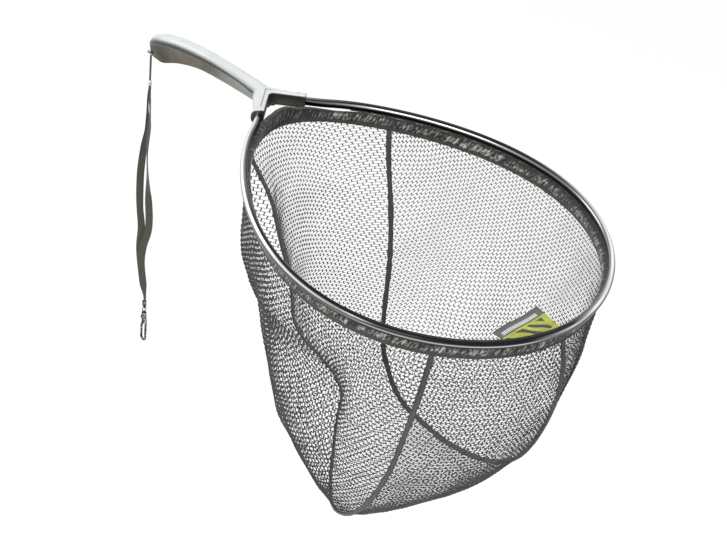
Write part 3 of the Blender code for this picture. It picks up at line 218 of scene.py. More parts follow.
def flake_nylon():
    """Glass-filled nylon, injection moulded with a fine metallic flake: pale satin silver on its crown, with
    brownish grey painted on its sides as shade, and painted shade and painted reflection in dark lines and bands."""
    finish, tree, shader = new_finish(
        "silver_flake_nylon", {"Base Color": "#D6D9D7", "Roughness": 0.38, "Metallic": 0.12})
    space = put(tree, "ShaderNodeTexCoord").outputs["Object"]
    flake, cloud = (put(tree, "ShaderNodeTexNoise", {"Vector": space, "Scale": 1 / size, "Detail": detail})
                    for size, detail in ((1.3 * MM, 3), (40 * MM, 2)))
    side, painted_shade_and_reflection = (put(tree, "ShaderNodeAttribute", attribute_name=name).outputs["Fac"]
                    for name in ("painted_side_shade", "painted_shade_and_reflection"))
    tone = put(tree, "ShaderNodeMix", {"Factor": 0.5, "A": cloud.outputs["Color"], "B": flake.outputs["Color"]},
               data_type="RGBA")
    top, painted_side_shade = (put(tree, "ShaderNodeValToRGB", {"Fac": tone}, stops) for stops in (
        [(0.32, "#B9BEBC"), (0.68, "#CDD1CF")], [(0.40, "#3E3A33"), (0.60, "#787267")]))
    body = put(tree, "ShaderNodeMix", {"Factor": side, "A": top, "B": painted_side_shade}, data_type="RGBA")
    # Base colour: the painted side shade, then the painted shade and reflection mixed towards near-black
    feed(shader, {
        "Base Color": put(tree, "ShaderNodeMix", {"Factor": painted_shade_and_reflection, "A": body, "B": "#0A0B08"}, data_type="RGBA"),
        "Roughness": put(tree, "ShaderNodeMapRange", {"Value": side, "To Min": 0.36, "To Max": 0.72}),
        "Normal": put(tree, "ShaderNodeBump", {"Height": flake, "Distance": 0.06 * MM, "Strength": 0.7})})
    return finish


def anodised_tube():
    """Extruded aluminium, anodised dark grey, mirror-like with faint draw lines; bands of painted
    reflection, light and dark, run along it."""
    finish, tree, shader = new_finish(
        "gunmetal_anodised_tube", {"Base Color": "#6E7072", "Metallic": 1.0, "Roughness": 0.16})
    painted_reflection = put(tree, "ShaderNodeAttribute", attribute_name="painted_reflection").outputs["Fac"]
    skin = put(tree, "ShaderNodeUVMap", uv_map="metres")
    lines = put(tree, "ShaderNodeMapping", {"Vector": skin, "Scale": (1 / (0.5 * MM), 6, 1)})
    drawn = put(tree, "ShaderNodeTexNoise", {"Vector": lines, "Scale": 1.0, "Detail": 2.0})
    # Painted reflection sets the tube's colour, with the draw lines over it
    level = put(tree, "ShaderNodeMath", {0: drawn, 1: 0.16, 2: painted_reflection}, operation="MULTIPLY_ADD")
    feed(shader, {
        "Base Color": put(tree, "ShaderNodeValToRGB", {"Fac": level}, [
            (0.08, "#0E0F0F"), (0.30, "#2F3131"), (0.60, "#8C8F8F"), (1.0, "#F4F6F6")]),
        "Roughness": put(tree, "ShaderNodeMapRange", {"Value": drawn, "To Min": 0.14, "To Max": 0.30})})
    return finish


def gathered_mesh():
    """The hem's fine mesh, gathered in folds: painted shade in the folds and painted highlights on their
    slanting crests."""
    finish, tree, shader = new_finish(
        "gathered_hem_mesh", {"Base Color": "#3B3937", "Roughness": 0.75, "Sheen Weight": 0.2})
    skin = put(tree, "ShaderNodeUVMap", uv_map="metres")
    painted_fold_shading = put(tree, "ShaderNodeAttribute", attribute_name="painted_fold_shading").outputs["Fac"]
    grid = put(tree, "ShaderNodeTexVoronoi", {"Vector": skin, "Scale": 1 / (1.7 * MM)}, feature="DISTANCE_TO_EDGE")
    edge = grid.outputs["Distance"]
    yarn = put(tree, "ShaderNodeMapRange", {"Value": edge, "From Max": 0.35, "To Min": -0.16, "To Max": 0.12})
    level = put(tree, "ShaderNodeMath", {0: painted_fold_shading, 1: yarn}, operation="ADD")
    feed(shader, {
        "Base Color": put(tree, "ShaderNodeValToRGB", {"Fac": level}, [
            (0.16, "#080707"), (0.40, "#34322F"), (0.62, "#75716C"), (0.95, "#C0BCB6")]),
        "Normal": put(tree, "ShaderNodeBump", {"Height": edge, "Distance": 0.3 * MM, "Strength": 0.5})})
    return finish


def printed_tag():
    """Satin-woven tag: lime with dark swept stripes, and a charcoal band with a row of pale bars along its
    free edge. Fine threads run both ways."""
    finish, tree, shader = new_finish(
        "printed_satin_tag", {"Base Color": "#B9C23A", "Roughness": 0.6, "Sheen Weight": 0.3})
    skin = put(tree, "ShaderNodeUVMap", uv_map="metres")
    place = put(tree, "ShaderNodeSeparateXYZ", {"Vector": skin})
    threads_x, threads_y, swept, bars = (
        put(tree, "ShaderNodeTexWave", {"Vector": skin, "Scale": 1 / size / WAVE_BANDS, **more}, bands_direction=way)
        for size, way, more in (
            (0.7 * MM, "X", {"Distortion": 0.6}), (0.7 * MM, "Y", {"Distortion": 0.6}),
            (7.5 * MM, "DIAGONAL", {"Distortion": 7.0, "Detail": 1.0, "Detail Scale": 0.6}),
            (2.4 * MM, "X", {"Distortion": 1.2})))
    weave = put(tree, "ShaderNodeMix", {"Factor": 0.5, "A": threads_x.outputs["Color"],
                                        "B": threads_y.outputs["Color"]}, data_type="RGBA")
    cloud = put(tree, "ShaderNodeTexNoise", {"Vector": put(tree, "ShaderNodeTexCoord").outputs["Object"],
                                             "Scale": 1 / (9 * MM), "Detail": 3})
    mixed = put(tree, "ShaderNodeMix", {"Factor": 0.7, "A": weave, "B": cloud.outputs["Color"]}, data_type="RGBA")
    lime, charcoal = (put(tree, "ShaderNodeValToRGB", {"Fac": mixed}, stops) for stops in (
        [(0.35, "#7C821E"), (0.62, "#B6B92A")], [(0.35, "#303131"), (0.65, "#525453")]))

    def mask(*limits):
        """1 where each value is between its two limits."""
        share = 1.0
        for value, low, high in limits:
            for limit, way in ((low, "GREATER_THAN"), (high, "LESS_THAN")):
                inside = put(tree, "ShaderNodeMath", {0: value, 1: limit}, operation=way)
                share = put(tree, "ShaderNodeMath", {0: share, 1: inside}, operation="MULTIPLY")
        return share

    x, y = place.outputs["X"], place.outputs["Y"]
    colour = lime
    for tone, share in (
            ("#0C0D05", mask((swept.outputs["Fac"], 0.55, 2.0), (y, 0.003, 0.0185), (x, -0.030, 0.024))),
            (charcoal, mask((y, 0.0205, 1.0))),
            ("#DDE0DC", mask((bars.outputs["Fac"], 0.45, 2.0), (y, 0.0222, 0.0262), (x, -0.027, 0.023)))):
        colour = put(tree, "ShaderNodeMix", {"Factor": share, "A": colour, "B": tone}, data_type="RGBA")
    feed(shader, {"Base Color": colour, "Normal": put(tree, "ShaderNodeBump", {
        "Height": weave, "Distance": 0.08 * MM, "Strength": 0.8})})
    return finish


NYLON = flake_nylon()
TUBE = anodised_tube()
HEM_MESH = gathered_mesh()
TAG = printed_tag()
THREAD = new_finish("black_sewing_thread", {"Base Color": "#2A2929", "Roughness": 0.6})[0]

# Knotless polyester netting, dipped black: dull round yarn that greys where it wears
YARN = patterned("black_knotless_yarn", {"Base Color": "#222122", "Roughness": 0.7, "Sheen Weight": 0.25},
                 [("Noise", 1.2 * MM, {"Detail": 2}, {}), ("Noise", 35 * MM, {"Detail": 3}, {})],
                 [(0.35, "#121111"), (0.68, "#2C2A29")], (0, 0.08 * MM, 0.8))
# Woven polyester seam tape: a tight rib across its width, dark with a slight sheen
TAPE = patterned("woven_binding_tape", {"Base Color": "#242423", "Roughness": 0.8, "Sheen Weight": 0.2},
                 [("Noise", 3 * MM, {"Detail": 4, "Roughness": 0.7}, {}),
                  ("Wave", 1.1 * MM, {"Distortion": 1.5}, {"bands_direction": "Y"})],
                 [(0.32, "#141312"), (0.62, "#5A5651")], (1, 0.25 * MM, 0.8), share=0.3)
# Woven nylon webbing, olive grey: ribs run along it and the weft shows as fine steps
WEBBING = patterned("olive_grey_webbing", {"Base Color": "#4B4B45", "Roughness": 0.8, "Sheen Weight": 0.2},
                    [("Wave", 1.4 * MM, {"Distortion": 0.3}, {"bands_direction": "X"}),
                     ("Wave", 0.9 * MM, {"Distortion": 0.8}, {"bands_direction": "Y"})],
                    [(0.2, "#2B2B27"), (0.8, "#5B5B52")], (-1, 0.2 * MM, 0.8))
# Thin braided polyester cord: black, with the braid's fine diagonal steps
CORD = patterned("black_braided_cord", {"Base Color": "#1E1D1D", "Roughness": 0.65, "Sheen Weight": 0.2},
                 [("Wave", 0.9 * MM, {}, {"bands_direction": "Y"})],
                 [(0.2, "#171616"), (0.9, "#3A3837")], (0, 0.12 * MM, 0.8), turn=math.radians(35))
# Die-cast and nickel plated fittings: dark and bright patches of painted reflection at random, and
# the roughness varies with them
STEEL = patterned("nickel_plated_steel", {"Base Color": "#9C9A94", "Metallic": 1.0, "Roughness": 0.28},
                  [("Noise", 3.5 * MM, {"Detail": 4, "Roughness": 0.6}, {})],
                  [(0.40, "#1C1B19"), (0.50, "#5A5852"), (0.64, "#C6C4BC")], (0, 0.03 * MM, 0.5), rough=(0.2, 0.42))
# Tinned crimp sleeve, soft and bright, with squeeze marks
TIN = patterned("tinned_crimp", {"Base Color": "#D4D2CA", "Metallic": 0.85, "Roughness": 0.38},
                [("Noise", 2.0 * MM, {"Detail": 3}, {})],
                [(0.35, "#A9A79F"), (0.6, "#E4E2DA")], (0, 0.08 * MM, 0.6))


# Meshes

def new_object(name, points, faces, finish, angle=40, uvs=None, edges=()):
    """A mesh object at the frame's origin; uvs gives each face's corners in metres."""
    mesh = bpy.data.meshes.new(name)
    mesh.from_pydata([tuple(p) for p in points], list(edges), faces)
    if uvs:
        layer = mesh.uv_layers.new(name="metres")
        flat = np.array([c for face in uvs for c in face], np.float32).ravel()
        layer.data.foreach_set("uv", flat)
    if finish:
        mesh.materials.append(finish)
    mesh.shade_smooth()
    if angle < 180:
        mesh.set_sharp_from_angle(angle=math.radians(angle))
    return linked(name, mesh)


def travelled(points):
    """Length along a line of points up to each of them."""
    run = [0.0]
    for a, b in zip(points, points[1:]):
        run.append(run[-1] + (b - a).length)
    return run


def oval(centre, across, up, count):
    """Places round a section whose half sizes are the vectors across and up."""
    return [centre + math.cos(a) * across + math.sin(a) * up
            for a in (2 * math.pi * k / count for k in range(count))]


def loft(name, rings, finish, angle=40, ring_run=False):
    """Join rings of points into a closed skin, with a UV of metres round and along."""
    size = len(rings[0])
    shifted = [[p + HOOP_CENTRE for p in ring] for ring in rings]
    middles = [sum(ring, Vector()) / size for ring in shifted]
    along = travelled([*middles, middles[0]])
    widest = shifted[len(shifted) // 2]
    around = travelled([*widest, widest[0]])
    faces, uvs = [], []
    spans = len(rings) if ring_run else len(rings) - 1
    for i in range(spans):
        k = (i + 1) % len(rings)
        for j in range(size):
            m = (j + 1) % size
            faces.append((i * size + j, i * size + m, k * size + m, k * size + j))
            uvs.append(((around[j], along[i]), (around[j + 1], along[i]),
                        (around[j + 1], along[i + 1]), (around[j], along[i + 1])))
    if not ring_run:
        for i, turn in ((0, -1), (len(rings) - 1, 1)):
            order = range(size)[::turn]
            faces.append(tuple(i * size + j for j in order))
            uvs.append(tuple(tuple((shifted[i][j] - middles[i]).yz) for j in order))
    piece = new_object(name, [p for ring in shifted for p in ring], faces, finish, angle, uvs)
    shell = bmesh.new()
    shell.from_mesh(piece.data)
    bmesh.ops.recalc_face_normals(shell, faces=shell.faces)
    shell.to_mesh(piece.data)
    shell.free()
    return piece


def baked(piece):
    """Turn the evaluated piece into a plain mesh and drop its modifiers."""
    view = bpy.context.evaluated_depsgraph_get()
    mesh = bpy.data.meshes.new_from_object(piece.evaluated_get(view), depsgraph=view)
    old = piece.data
    piece.modifiers.clear()
    piece.data = mesh
    bpy.data.meshes.remove(old)
    return piece


def settle(piece, body, *nodes, slot=None):
    """Let a finished piece ride on its body in place of the CAD nodes that it stands for."""
    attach(piece, body)
    if nodes:
        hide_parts(*nodes)
    return piece


def smooth_route(points, count):
    """Catmull-Rom curve through the points, as count + 1 places spaced evenly along it."""
    ends = [2 * points[0] - points[1], *points, 2 * points[-1] - points[-2]]
    fine = []
    for a, b, c, d in zip(ends, ends[1:], ends[2:], ends[3:]):
        for k in range(20):
            s = k / 20
            fine.append(0.5 * (2 * b + (c - a) * s + (2 * a - 5 * b + 4 * c - d) * s ** 2
                               + (3 * b - a - 3 * c + d) * s ** 3))
    fine.append(points[-1])
    run = travelled(fine)
    even = []
    k = 0
    for i in range(count + 1):
        goal = run[-1] * i / count
        while k < len(fine) - 2 and run[k + 1] < goal:
            k += 1
        share = (goal - run[k]) / (run[k + 1] - run[k])
        even.append(fine[k].lerp(fine[k + 1], min(1.0, share)))
    return even


def smooth_values(rows, count):
    """Rows of numbers sampled on a smooth curve through them."""
    ends = [[2 * a - b for a, b in zip(rows[0], rows[1])], *rows,
            [2 * a - b for a, b in zip(rows[-1], rows[-2])]]
    samples = []
    for a, b, c, d in zip(ends, ends[1:], ends[2:], ends[3:]):
        for k in range(count):
            s = k / count
            samples.append([0.5 * (2 * q + (r - p) * s + (2 * p - 5 * q + 4 * r - t) * s ** 2
                                   + (3 * q - p - 3 * r + t) * s ** 3) for p, q, r, t in zip(a, b, c, d)])
    samples.append(list(rows[-1]))
    return samples


def ease(x, low, high):
    share = min(1.0, max(0.0, (x - low) / (high - low)))
    return share * share * (3 - 2 * share)


def mirror_y(point):
    return Vector((point.x, -point.y, point.z))


# Sizes that the CAD source gives, from the hoop's centre

FIT = 0.0003
HALF_LENGTH, HALF_WIDTH = 0.225, 0.162
NOSE_FULLNESS, SIDE_FULLNESS = 0.19, -0.059
TUBE_WIDTH, TUBE_HEIGHT = 0.008, 0.010
BEND_ANGLE = math.radians(155)
BEND_LENGTH = 0.020
ARM_ANGLE = math.radians(46)
STRAIGHT_LENGTH = 0.008
TAIL_LENGTH = 0.020
HEM_INSET, HEM_THICKNESS, HEM_HEIGHT = 0.0045, 0.0060, 0.0117
BINDING_THICKNESS, BINDING_HEIGHT = 0.0030, 0.0037


def hoop_point(angle):
    fullness = 1 + NOSE_FULLNESS * math.cos(angle) + SIDE_FULLNESS * math.cos(2 * angle)
    return Vector((HALF_LENGTH * math.cos(angle), HALF_WIDTH * math.sin(angle) * fullness, 0))


def hoop_outward(angle):
    step = 0.0001
    along = (hoop_point(angle + step) - hoop_point(angle - step)).normalized()
    return Vector((along.y, -along.x, 0))


def beside_hoop(angle, inset, height):
    return hoop_point(angle) - inset * hoop_outward(angle) + Vector((0, 0, height))


def tail_stations(steps):
    """Places and outward directions along the +Y end: the bend, then the straight tail in its socket."""
    point = hoop_point(BEND_ANGLE)
    outward = hoop_outward(BEND_ANGLE)
    heading = math.atan2(outward.x, -outward.y) % (2 * math.pi)
    final = math.pi + ARM_ANGLE
    stations = []
    for i in range(steps):
        middle = heading + (final - heading) * (i + 0.5) / steps
        point = point + BEND_LENGTH / steps * Vector((math.cos(middle), math.sin(middle), 0))
        now = heading + (final - heading) * (i + 1) / steps
        stations.append((point, Vector((math.sin(now), -math.cos(now), 0))))
    along = Vector((math.cos(final), math.sin(final), 0))
    mouth = point + STRAIGHT_LENGTH * along
    stations.append((mouth + TAIL_LENGTH * along, stations[-1][1]))
    return stations, mouth


TAIL, SOCKET_MOUTH = tail_stations(5)
ARM_LENGTH = SOCKET_MOUTH.y / math.sin(ARM_ANGLE)
ARM_CROSSING = Vector((SOCKET_MOUTH.x - ARM_LENGTH * math.cos(ARM_ANGLE), 0, 0))
HOLE = ARM_CROSSING + Vector((-0.2072, 0, -0.0505))
HANG = HOLE + Vector((-0.0120, 0, -0.0115))
SWAY = HANG - Vector((0, 0, 0.0395))
ARM_TOP = TUBE_HEIGHT / 2 + FIT + 0.0031
ARM_BOTTOM = TUBE_HEIGHT / 2 + FIT + 0.0015
ARM_INNER = TUBE_WIDTH / 2 + FIT + 0.0014
ARM_OUTER = TUBE_WIDTH / 2 + FIT + 0.0032
HEM_TOP = TUBE_HEIGHT / 2 + FIT
HEM_DIP = ARM_BOTTOM + FIT - HEM_TOP
HEM_LOW = HEM_TOP + HEM_HEIGHT
BINDING_TOP = HEM_LOW + FIT
BINDING_LOW = BINDING_TOP + BINDING_HEIGHT
BAG_TOP = BINDING_LOW + FIT


# CAD fittings whose shape is right, smoothed and with softened edges

SHARP = math.radians(32)


def softened(name, body, finish, bevel):
    """A merged copy of a CAD node with small rounds on its edges."""
    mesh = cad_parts[name].data.copy()
    shell = bmesh.new()
    shell.from_mesh(mesh)
    bmesh.ops.remove_doubles(shell, verts=shell.verts, dist=1e-6)
    bmesh.ops.dissolve_limit(shell, angle_limit=math.radians(2), verts=shell.verts, edges=shell.edges)
    shell.to_mesh(mesh)
    shell.free()
    mesh.materials.clear()
    mesh.materials.append(finish)
    mesh.shade_smooth()
    mesh.set_sharp_from_angle(angle=SHARP)
    piece = linked(f"{name}_finished", mesh)
    if bevel:
        step = piece.modifiers.new("edges", "BEVEL")
        step.width, step.segments = bevel, 2
        step.limit_method, step.angle_limit = "ANGLE", SHARP
        baked(piece)
    return settle(piece, body, name, slot="plated_steel")


FITTINGS = {name: softened(name, body, TIN if name == "cord_crimp" else STEEL, bevel * MM)
            for name, body, bevel in (
                ("webbing_clamp", "strap", 0.25), ("cord_crimp", "strap", 0.3), ("snap_hook", "hook", 0.2),
                ("gate_pin", "hook", 0.1), ("hook_gate", "gate", 0.15), ("swivel_eye", "swivel", 0),
                ("hoop_screw_left", "net", 0.15), ("hoop_screw_right", "net", 0.15))}


# Cords and webbing

CORD_RADIUS, CORD_HOLE_RADIUS = 0.0006, 0.0026
LEG_SPACING = 0.0015
WEBBING_LENGTH, WEBBING_WIDTH, WEBBING_THICKNESS = 0.342, 0.0095, 0.0011
SQUEEZED_WIDTH, SQUEEZE_REACH = 0.0026, (0.004, 0.035)      # at the crimp and the clamp, and where it ends
WEBBING_FACING = math.radians(50)
CRIMP_TOP, CRIMP_DROP, CRIMP_DEPTH = 0.0027, 0.0034, 0.0025


def braid(name, route, start=1.0):
    """The round cord along a route, with its rings kept from twisting; start is the first ring's share."""
    across = Vector((0, 1, 0))
    rings = []
    for i, point in enumerate(route):
        along = (route[min(i + 1, len(route) - 1)] - route[max(i - 1, 0)]).normalized()
        across = across - across.dot(along) * along
        across = across.normalized() if across.length > 1e-6 else along.orthogonal().normalized()
        size = CORD_RADIUS * (start if i == 0 else 1.0)
        rings.append(oval(point, size * across, size * along.cross(across), 12))
    return loft(name, rings, CORD, 60)


def make_cords():
    """The thin cord: a loop through the butt's hole, and two legs from it down to the crimp."""
    half = LEG_SPACING / 2
    top = HANG + Vector((0, 0, CORD_RADIUS + FIT))
    side = [HANG + Vector(p) for p in (
        (-0.0003, half, 0.0030), (0.0000, 0.0026, 0.0056), (0.0022, 0.0056, 0.0078),
        (0.0056, 0.0086, 0.0090), (0.0088, 0.0098, 0.0100))]
    seat = HOLE + (CORD_HOLE_RADIUS - CORD_RADIUS - FIT) * (HANG - HOLE).normalized()
    turn = [seat + Vector((-0.0004, 0.0094, -0.0002)), seat + Vector((0, 0.0080, 0)), seat]
    half_route = [top + Vector((0, half, 0)), *side, *turn]
    route = smooth_route(half_route + [mirror_y(p) for p in reversed(half_route[:-1])], 90)
    loop = settle(braid("cord_round_butt", route), "net", "cord_loop", slot="black_cord")
    travelled(route)[-1]
    foot = SWAY + Vector((0, 0, CRIMP_TOP + FIT))
    for name, y in (("left", half), ("right", -half)):
        start, end = HANG + Vector((0, y, 0.0001)), foot + Vector((0, y, 0))
        leg_route = [start.lerp(end, k / 24) for k in range(25)]
        leg = settle(braid(f"cord_leg_{name}_braid", leg_route, 0.45), "cord_legs", f"cord_leg_{name}",
                     slot="black_cord")


CLIP_LEAN = 0.0034
RUN_OFFSET = 0.00075
END_SIDE = RUN_OFFSET * math.cos(WEBBING_FACING)
END_DEEP = RUN_OFFSET * math.sin(WEBBING_FACING)
# Webbing runs: share of the length, sideways place, depth place, twist in degrees
RUNS = {
    "left": (
        (0.00, -END_SIDE, -END_DEEP, 40), (0.02, -END_SIDE, -END_DEEP, 40),
        (0.05, -0.0012, -0.0006, 66), (0.10, -0.0018, -0.0004, 84), (0.15, -0.0016, -0.0010, 70),
        (0.20, -0.0018, -0.0018, 56), (0.27, -0.0046, -0.0024, 30), (0.38, -0.0076, -0.0022, 10),
        (0.48, -0.0079, -0.0018, 12), (0.56, -0.0068, -0.0016, 30), (0.64, -0.0044, -0.0016, 14),
        (0.73, -0.0056, -0.0016, 0), (0.80, -0.0042, -0.0016, -8), (0.90, 0.0000, -0.0016, 10),
        (0.97, CLIP_LEAN - END_SIDE, -END_DEEP, 40), (1.00, CLIP_LEAN - END_SIDE, -END_DEEP, 40)),
    "right": (
        (0.00, END_SIDE, END_DEEP, 40), (0.02, END_SIDE, END_DEEP, 40),
        (0.05, 0.0006, 0.0018, 70), (0.10, 0.0016, 0.0016, 88), (0.15, 0.0016, 0.0026, 80),
        (0.20, 0.0012, 0.0040, 66), (0.30, 0.0004, 0.0046, 88), (0.38, 0.0014, 0.0044, 86),
        (0.46, 0.0026, 0.0034, 56), (0.52, 0.0042, 0.0026, 20), (0.60, 0.0056, 0.0018, 4),
        (0.66, 0.0044, 0.0018, 0), (0.73, -0.0008, 0.0018, 6), (0.80, -0.0026, 0.0018, -6),
        (0.90, 0.0006, 0.0018, 10), (0.97, CLIP_LEAN + END_SIDE, END_DEEP, 40),
        (1.00, CLIP_LEAN + END_SIDE, END_DEEP, 40)),
}


def make_webbing(side):
    """One run of the doubled webbing: flat, with rounded selvedges, turning as it hangs."""
    top = SWAY.z - CRIMP_DROP + CRIMP_DEPTH - FIT
    lateral = Vector((math.cos(WEBBING_FACING), math.sin(WEBBING_FACING), 0))
    depth = Vector((lateral.y, -lateral.x, 0))
    outline = [(-1, 0), (-0.92, 0.75), (-0.8, 1), (0.8, 1), (0.92, 0.75), (1, 0), (0.92, -0.75), (0.8, -1),
               (-0.8, -1), (-0.92, -0.75)]
    rings, route = [], []
    for share, sideways, deep, twist in smooth_values(RUNS[side], 14):
        down = share * WEBBING_LENGTH
        width = SQUEEZED_WIDTH + (WEBBING_WIDTH - SQUEEZED_WIDTH) * ease(
            min(down, WEBBING_LENGTH - down), *SQUEEZE_REACH)
        facing = WEBBING_FACING + math.radians(twist)
        across = Vector((math.cos(facing), math.sin(facing), 0))
        through = Vector((across.y, -across.x, 0)) * WEBBING_THICKNESS / 2
        centre = Vector((HANG.x, 0, top - down)) + sideways * lateral + deep * depth
        rings.append([centre + a * across * width / 2 + b * through for a, b in outline])
        route.append(centre)
    run = settle(loft(f"webbing_run_{side}", rings, WEBBING, 50), "strap", f"webbing_{side}", slot="grey_webbing")
    travelled(route)[-1]


make_cords()
make_webbing("left")
make_webbing("right")


# Handle: its shells are joined by a fine remesh, which rounds every edge as the mould does

# Place along X from the arms' crossing, crown, crease and underside heights, half width
GRIP_STATIONS = (
    (0.0080, 0.0078, 0.0040, -0.0060, 0.0060), (0.0020, 0.0080, 0.0040, -0.0085, 0.0090),
    (-0.0080, 0.0080, 0.0040, -0.0110, 0.0110), (-0.0360, 0.0060, 0.0040, -0.0140, 0.0100),
    (-0.0760, 0.0045, -0.0010, -0.0190, 0.0095), (-0.1160, 0.0000, -0.0075, -0.0260, 0.0100),
    (-0.1560, -0.0080, -0.0160, -0.0400, 0.0105), (-0.1860, -0.0170, -0.0260, -0.0550, 0.0110),
    (-0.1980, -0.0225, -0.0305, -0.0570, 0.0102), (-0.2070, -0.0275, -0.0355, -0.0570, 0.0086),
    (-0.2125, -0.0320, -0.0395, -0.0550, 0.0066), (-0.2165, -0.0370, -0.0430, -0.0520, 0.0046),
    (-0.2190, -0.0415, -0.0450, -0.0495, 0.0028), (-0.2200, -0.0450, -0.0462, -0.0475, 0.0012),
)
GRIP_BASE_HALF_WIDTH = 0.0070
CREASE_DEPTH = 0.0005
RIM_WIDTH, RIM_HEIGHT = 0.0046, 0.0012
YOKE_FLARE = 0.0050
CROTCH_RADIUS = 0.0065
LIP_REACH, LIP_HEIGHT = 0.0015, 0.0022
COLLAR_LENGTH, COLLAR_RISE = 0.0088, 0.0008
SCREW_RADIUS, SCREW_HEAD_RADIUS, SCREW_HEAD_RECESS = 0.0013, 0.0025, 0.0005
ARM_ALONG = Vector((math.cos(ARM_ANGLE), math.sin(ARM_ANGLE), 0))
ARM_OUTWARD = Vector((-ARM_ALONG.y, ARM_ALONG.x, 0))
CREASE_DROP = 0.0031            # the photograph's crease runs a little lower than the CAD's
GRIP_ROWS = [(x, crown, crease - min(CREASE_DROP, (crease - base) * 0.15), base, half)
             for x, crown, crease, base, half in smooth_values(GRIP_STATIONS, 8)]


def grip_ring(x, crown, crease, base, half_width):
    """Round crown down to the crease, then sides that taper to a flat underside."""
    crown -= min(0.0008, (crown - crease) * 0.1)
    steps = 33
    ring = [Vector((x, half_width * math.cos(math.pi * i / steps),
                    crease + (crown - crease) * math.sin(math.pi * i / steps))) for i in range(steps + 1)]
    foot = min(GRIP_BASE_HALF_WIDTH, half_width * 0.8)
    corner = min(0.0018, (crease - base) * 0.3)
    side = half_width - CREASE_DEPTH
    below = ((-side, crease - CREASE_DEPTH), (-foot, base + corner), (-foot + corner, base),
             (foot - corner, base), (foot, base + corner), (side, crease - CREASE_DEPTH))
    return ring + [Vector((x, y, z)) for y, z in below]


def arm_ring(distance, flip, collar=0.0):
    """Section of a yoke arm, from the hoop's side outwards; a collar stands proud of its crown."""
    outer = ARM_OUTER + YOKE_FLARE * (1 - ease(distance / ARM_LENGTH, 0.0, 0.9))
    rim = ARM_TOP + RIM_HEIGHT
    inner = -ARM_INNER
    crown = smooth_values([(outer * 0.62, -ARM_BOTTOM), (outer * 0.88, -ARM_BOTTOM * 0.75),
                           (outer, -ARM_BOTTOM * 0.2), (outer * 0.98, ARM_TOP * 0.25),
                           (outer * 0.86, ARM_TOP * 0.56), (outer * 0.56, ARM_TOP * 0.82),
                           (inner + RIM_WIDTH + 0.0003, ARM_TOP)], 5)
    grow = [1 + collar / math.hypot(n, z) for n, z in crown]
    crown = [(n * g, z * g) for (n, z), g in zip(crown, grow)]
    section = [(inner, -ARM_BOTTOM + 0.0008), (inner + 0.0008, -ARM_BOTTOM), *crown,
               (inner + RIM_WIDTH, rim - 0.0003), (inner + RIM_WIDTH - 0.0004, rim), (inner + 0.0006, rim),
               (inner, rim - 0.0006)]
    ring = [ARM_CROSSING + distance * ARM_ALONG + n * ARM_OUTWARD + Vector((0, 0, z)) for n, z in section]
    return [mirror_y(point) for point in ring] if flip else ring


def crotch_outline(reach):
    """Plan of the web in the crotch, with a rounded hollow in front."""
    inner = ARM_INNER + reach
    centre_x = ARM_CROSSING.x + (inner + CROTCH_RADIUS) / math.sin(ARM_ANGLE)
    steps = 25
    arc = []
    for i in range(steps + 1):
        a = math.pi + (math.pi / 2 - ARM_ANGLE) * (1 - 2 * i / steps)
        arc.append((centre_x + CROTCH_RADIUS * math.cos(a), CROTCH_RADIUS * math.sin(a)))
    back = (arc[0][0] - ARM_INNER * 0.9, arc[0][1] * 1.4)
    return [*arc, (back[0], -back[1]), (ARM_CROSSING.x - ARM_INNER * 0.3, 0), back]


def slab(name, outline, low, high):
    return loft(name, [[Vector((x, y, z)) for x, y in outline] for z in (low, high)], None)


def bored(name, start, end, radius):
    """Round cutter from start to end."""
    along = (end - start).normalized()
    across = along.orthogonal().normalized()
    return loft(name, [oval(spot, radius * across, radius * along.cross(across), 48) for spot in (start, end)], None)


def socket_cutter(flip):
    """The tube's oval and its fit, along the tail and out past the arm's end, where it flares."""
    end, outward = TAIL[-1]
    rings = []
    for place, flare in ((end - FIT * ARM_ALONG, 0.0), (SOCKET_MOUTH - 0.0006 * ARM_ALONG, 0.0),
                         (SOCKET_MOUTH + 0.0002 * ARM_ALONG, 0.0004), (SOCKET_MOUTH + 0.004 * ARM_ALONG, 0.0004)):
        ring = oval(place, (TUBE_WIDTH / 2 + FIT + flare) * outward,
                    Vector((0, 0, TUBE_HEIGHT / 2 + FIT + flare)), 64)
        rings.append([mirror_y(p) for p in ring] if flip else ring)
    return loft("socket_cutter", rings, None)


def joined(name, pieces, finish):
    """One mesh from several closed shells that overlap."""
    shell = bmesh.new()
    for piece in pieces:
        shell.from_mesh(piece.data)
        bpy.data.objects.remove(piece)
    mesh = bpy.data.meshes.new(name)
    shell.to_mesh(mesh)
    shell.free()
    mesh.materials.append(finish)
    return linked(name, mesh)


def fade(values, low, high):
    share = np.clip((values - low) / (high - low), 0, 1)
    return share * share * (3 - 2 * share)


def mark(mesh, name, values):
    layer = mesh.attributes.new(name, "FLOAT", "POINT")
    layer.data.foreach_set("value", values.astype(np.float32))


def spots_of(mesh):
    """A piece's points from the hoop's centre, as x, y and z."""
    flat = np.empty(len(mesh.vertices) * 3, np.float32)
    mesh.vertices.foreach_get("co", flat)
    return (flat.reshape(-1, 3) - np.array(HOOP_CENTRE)).T


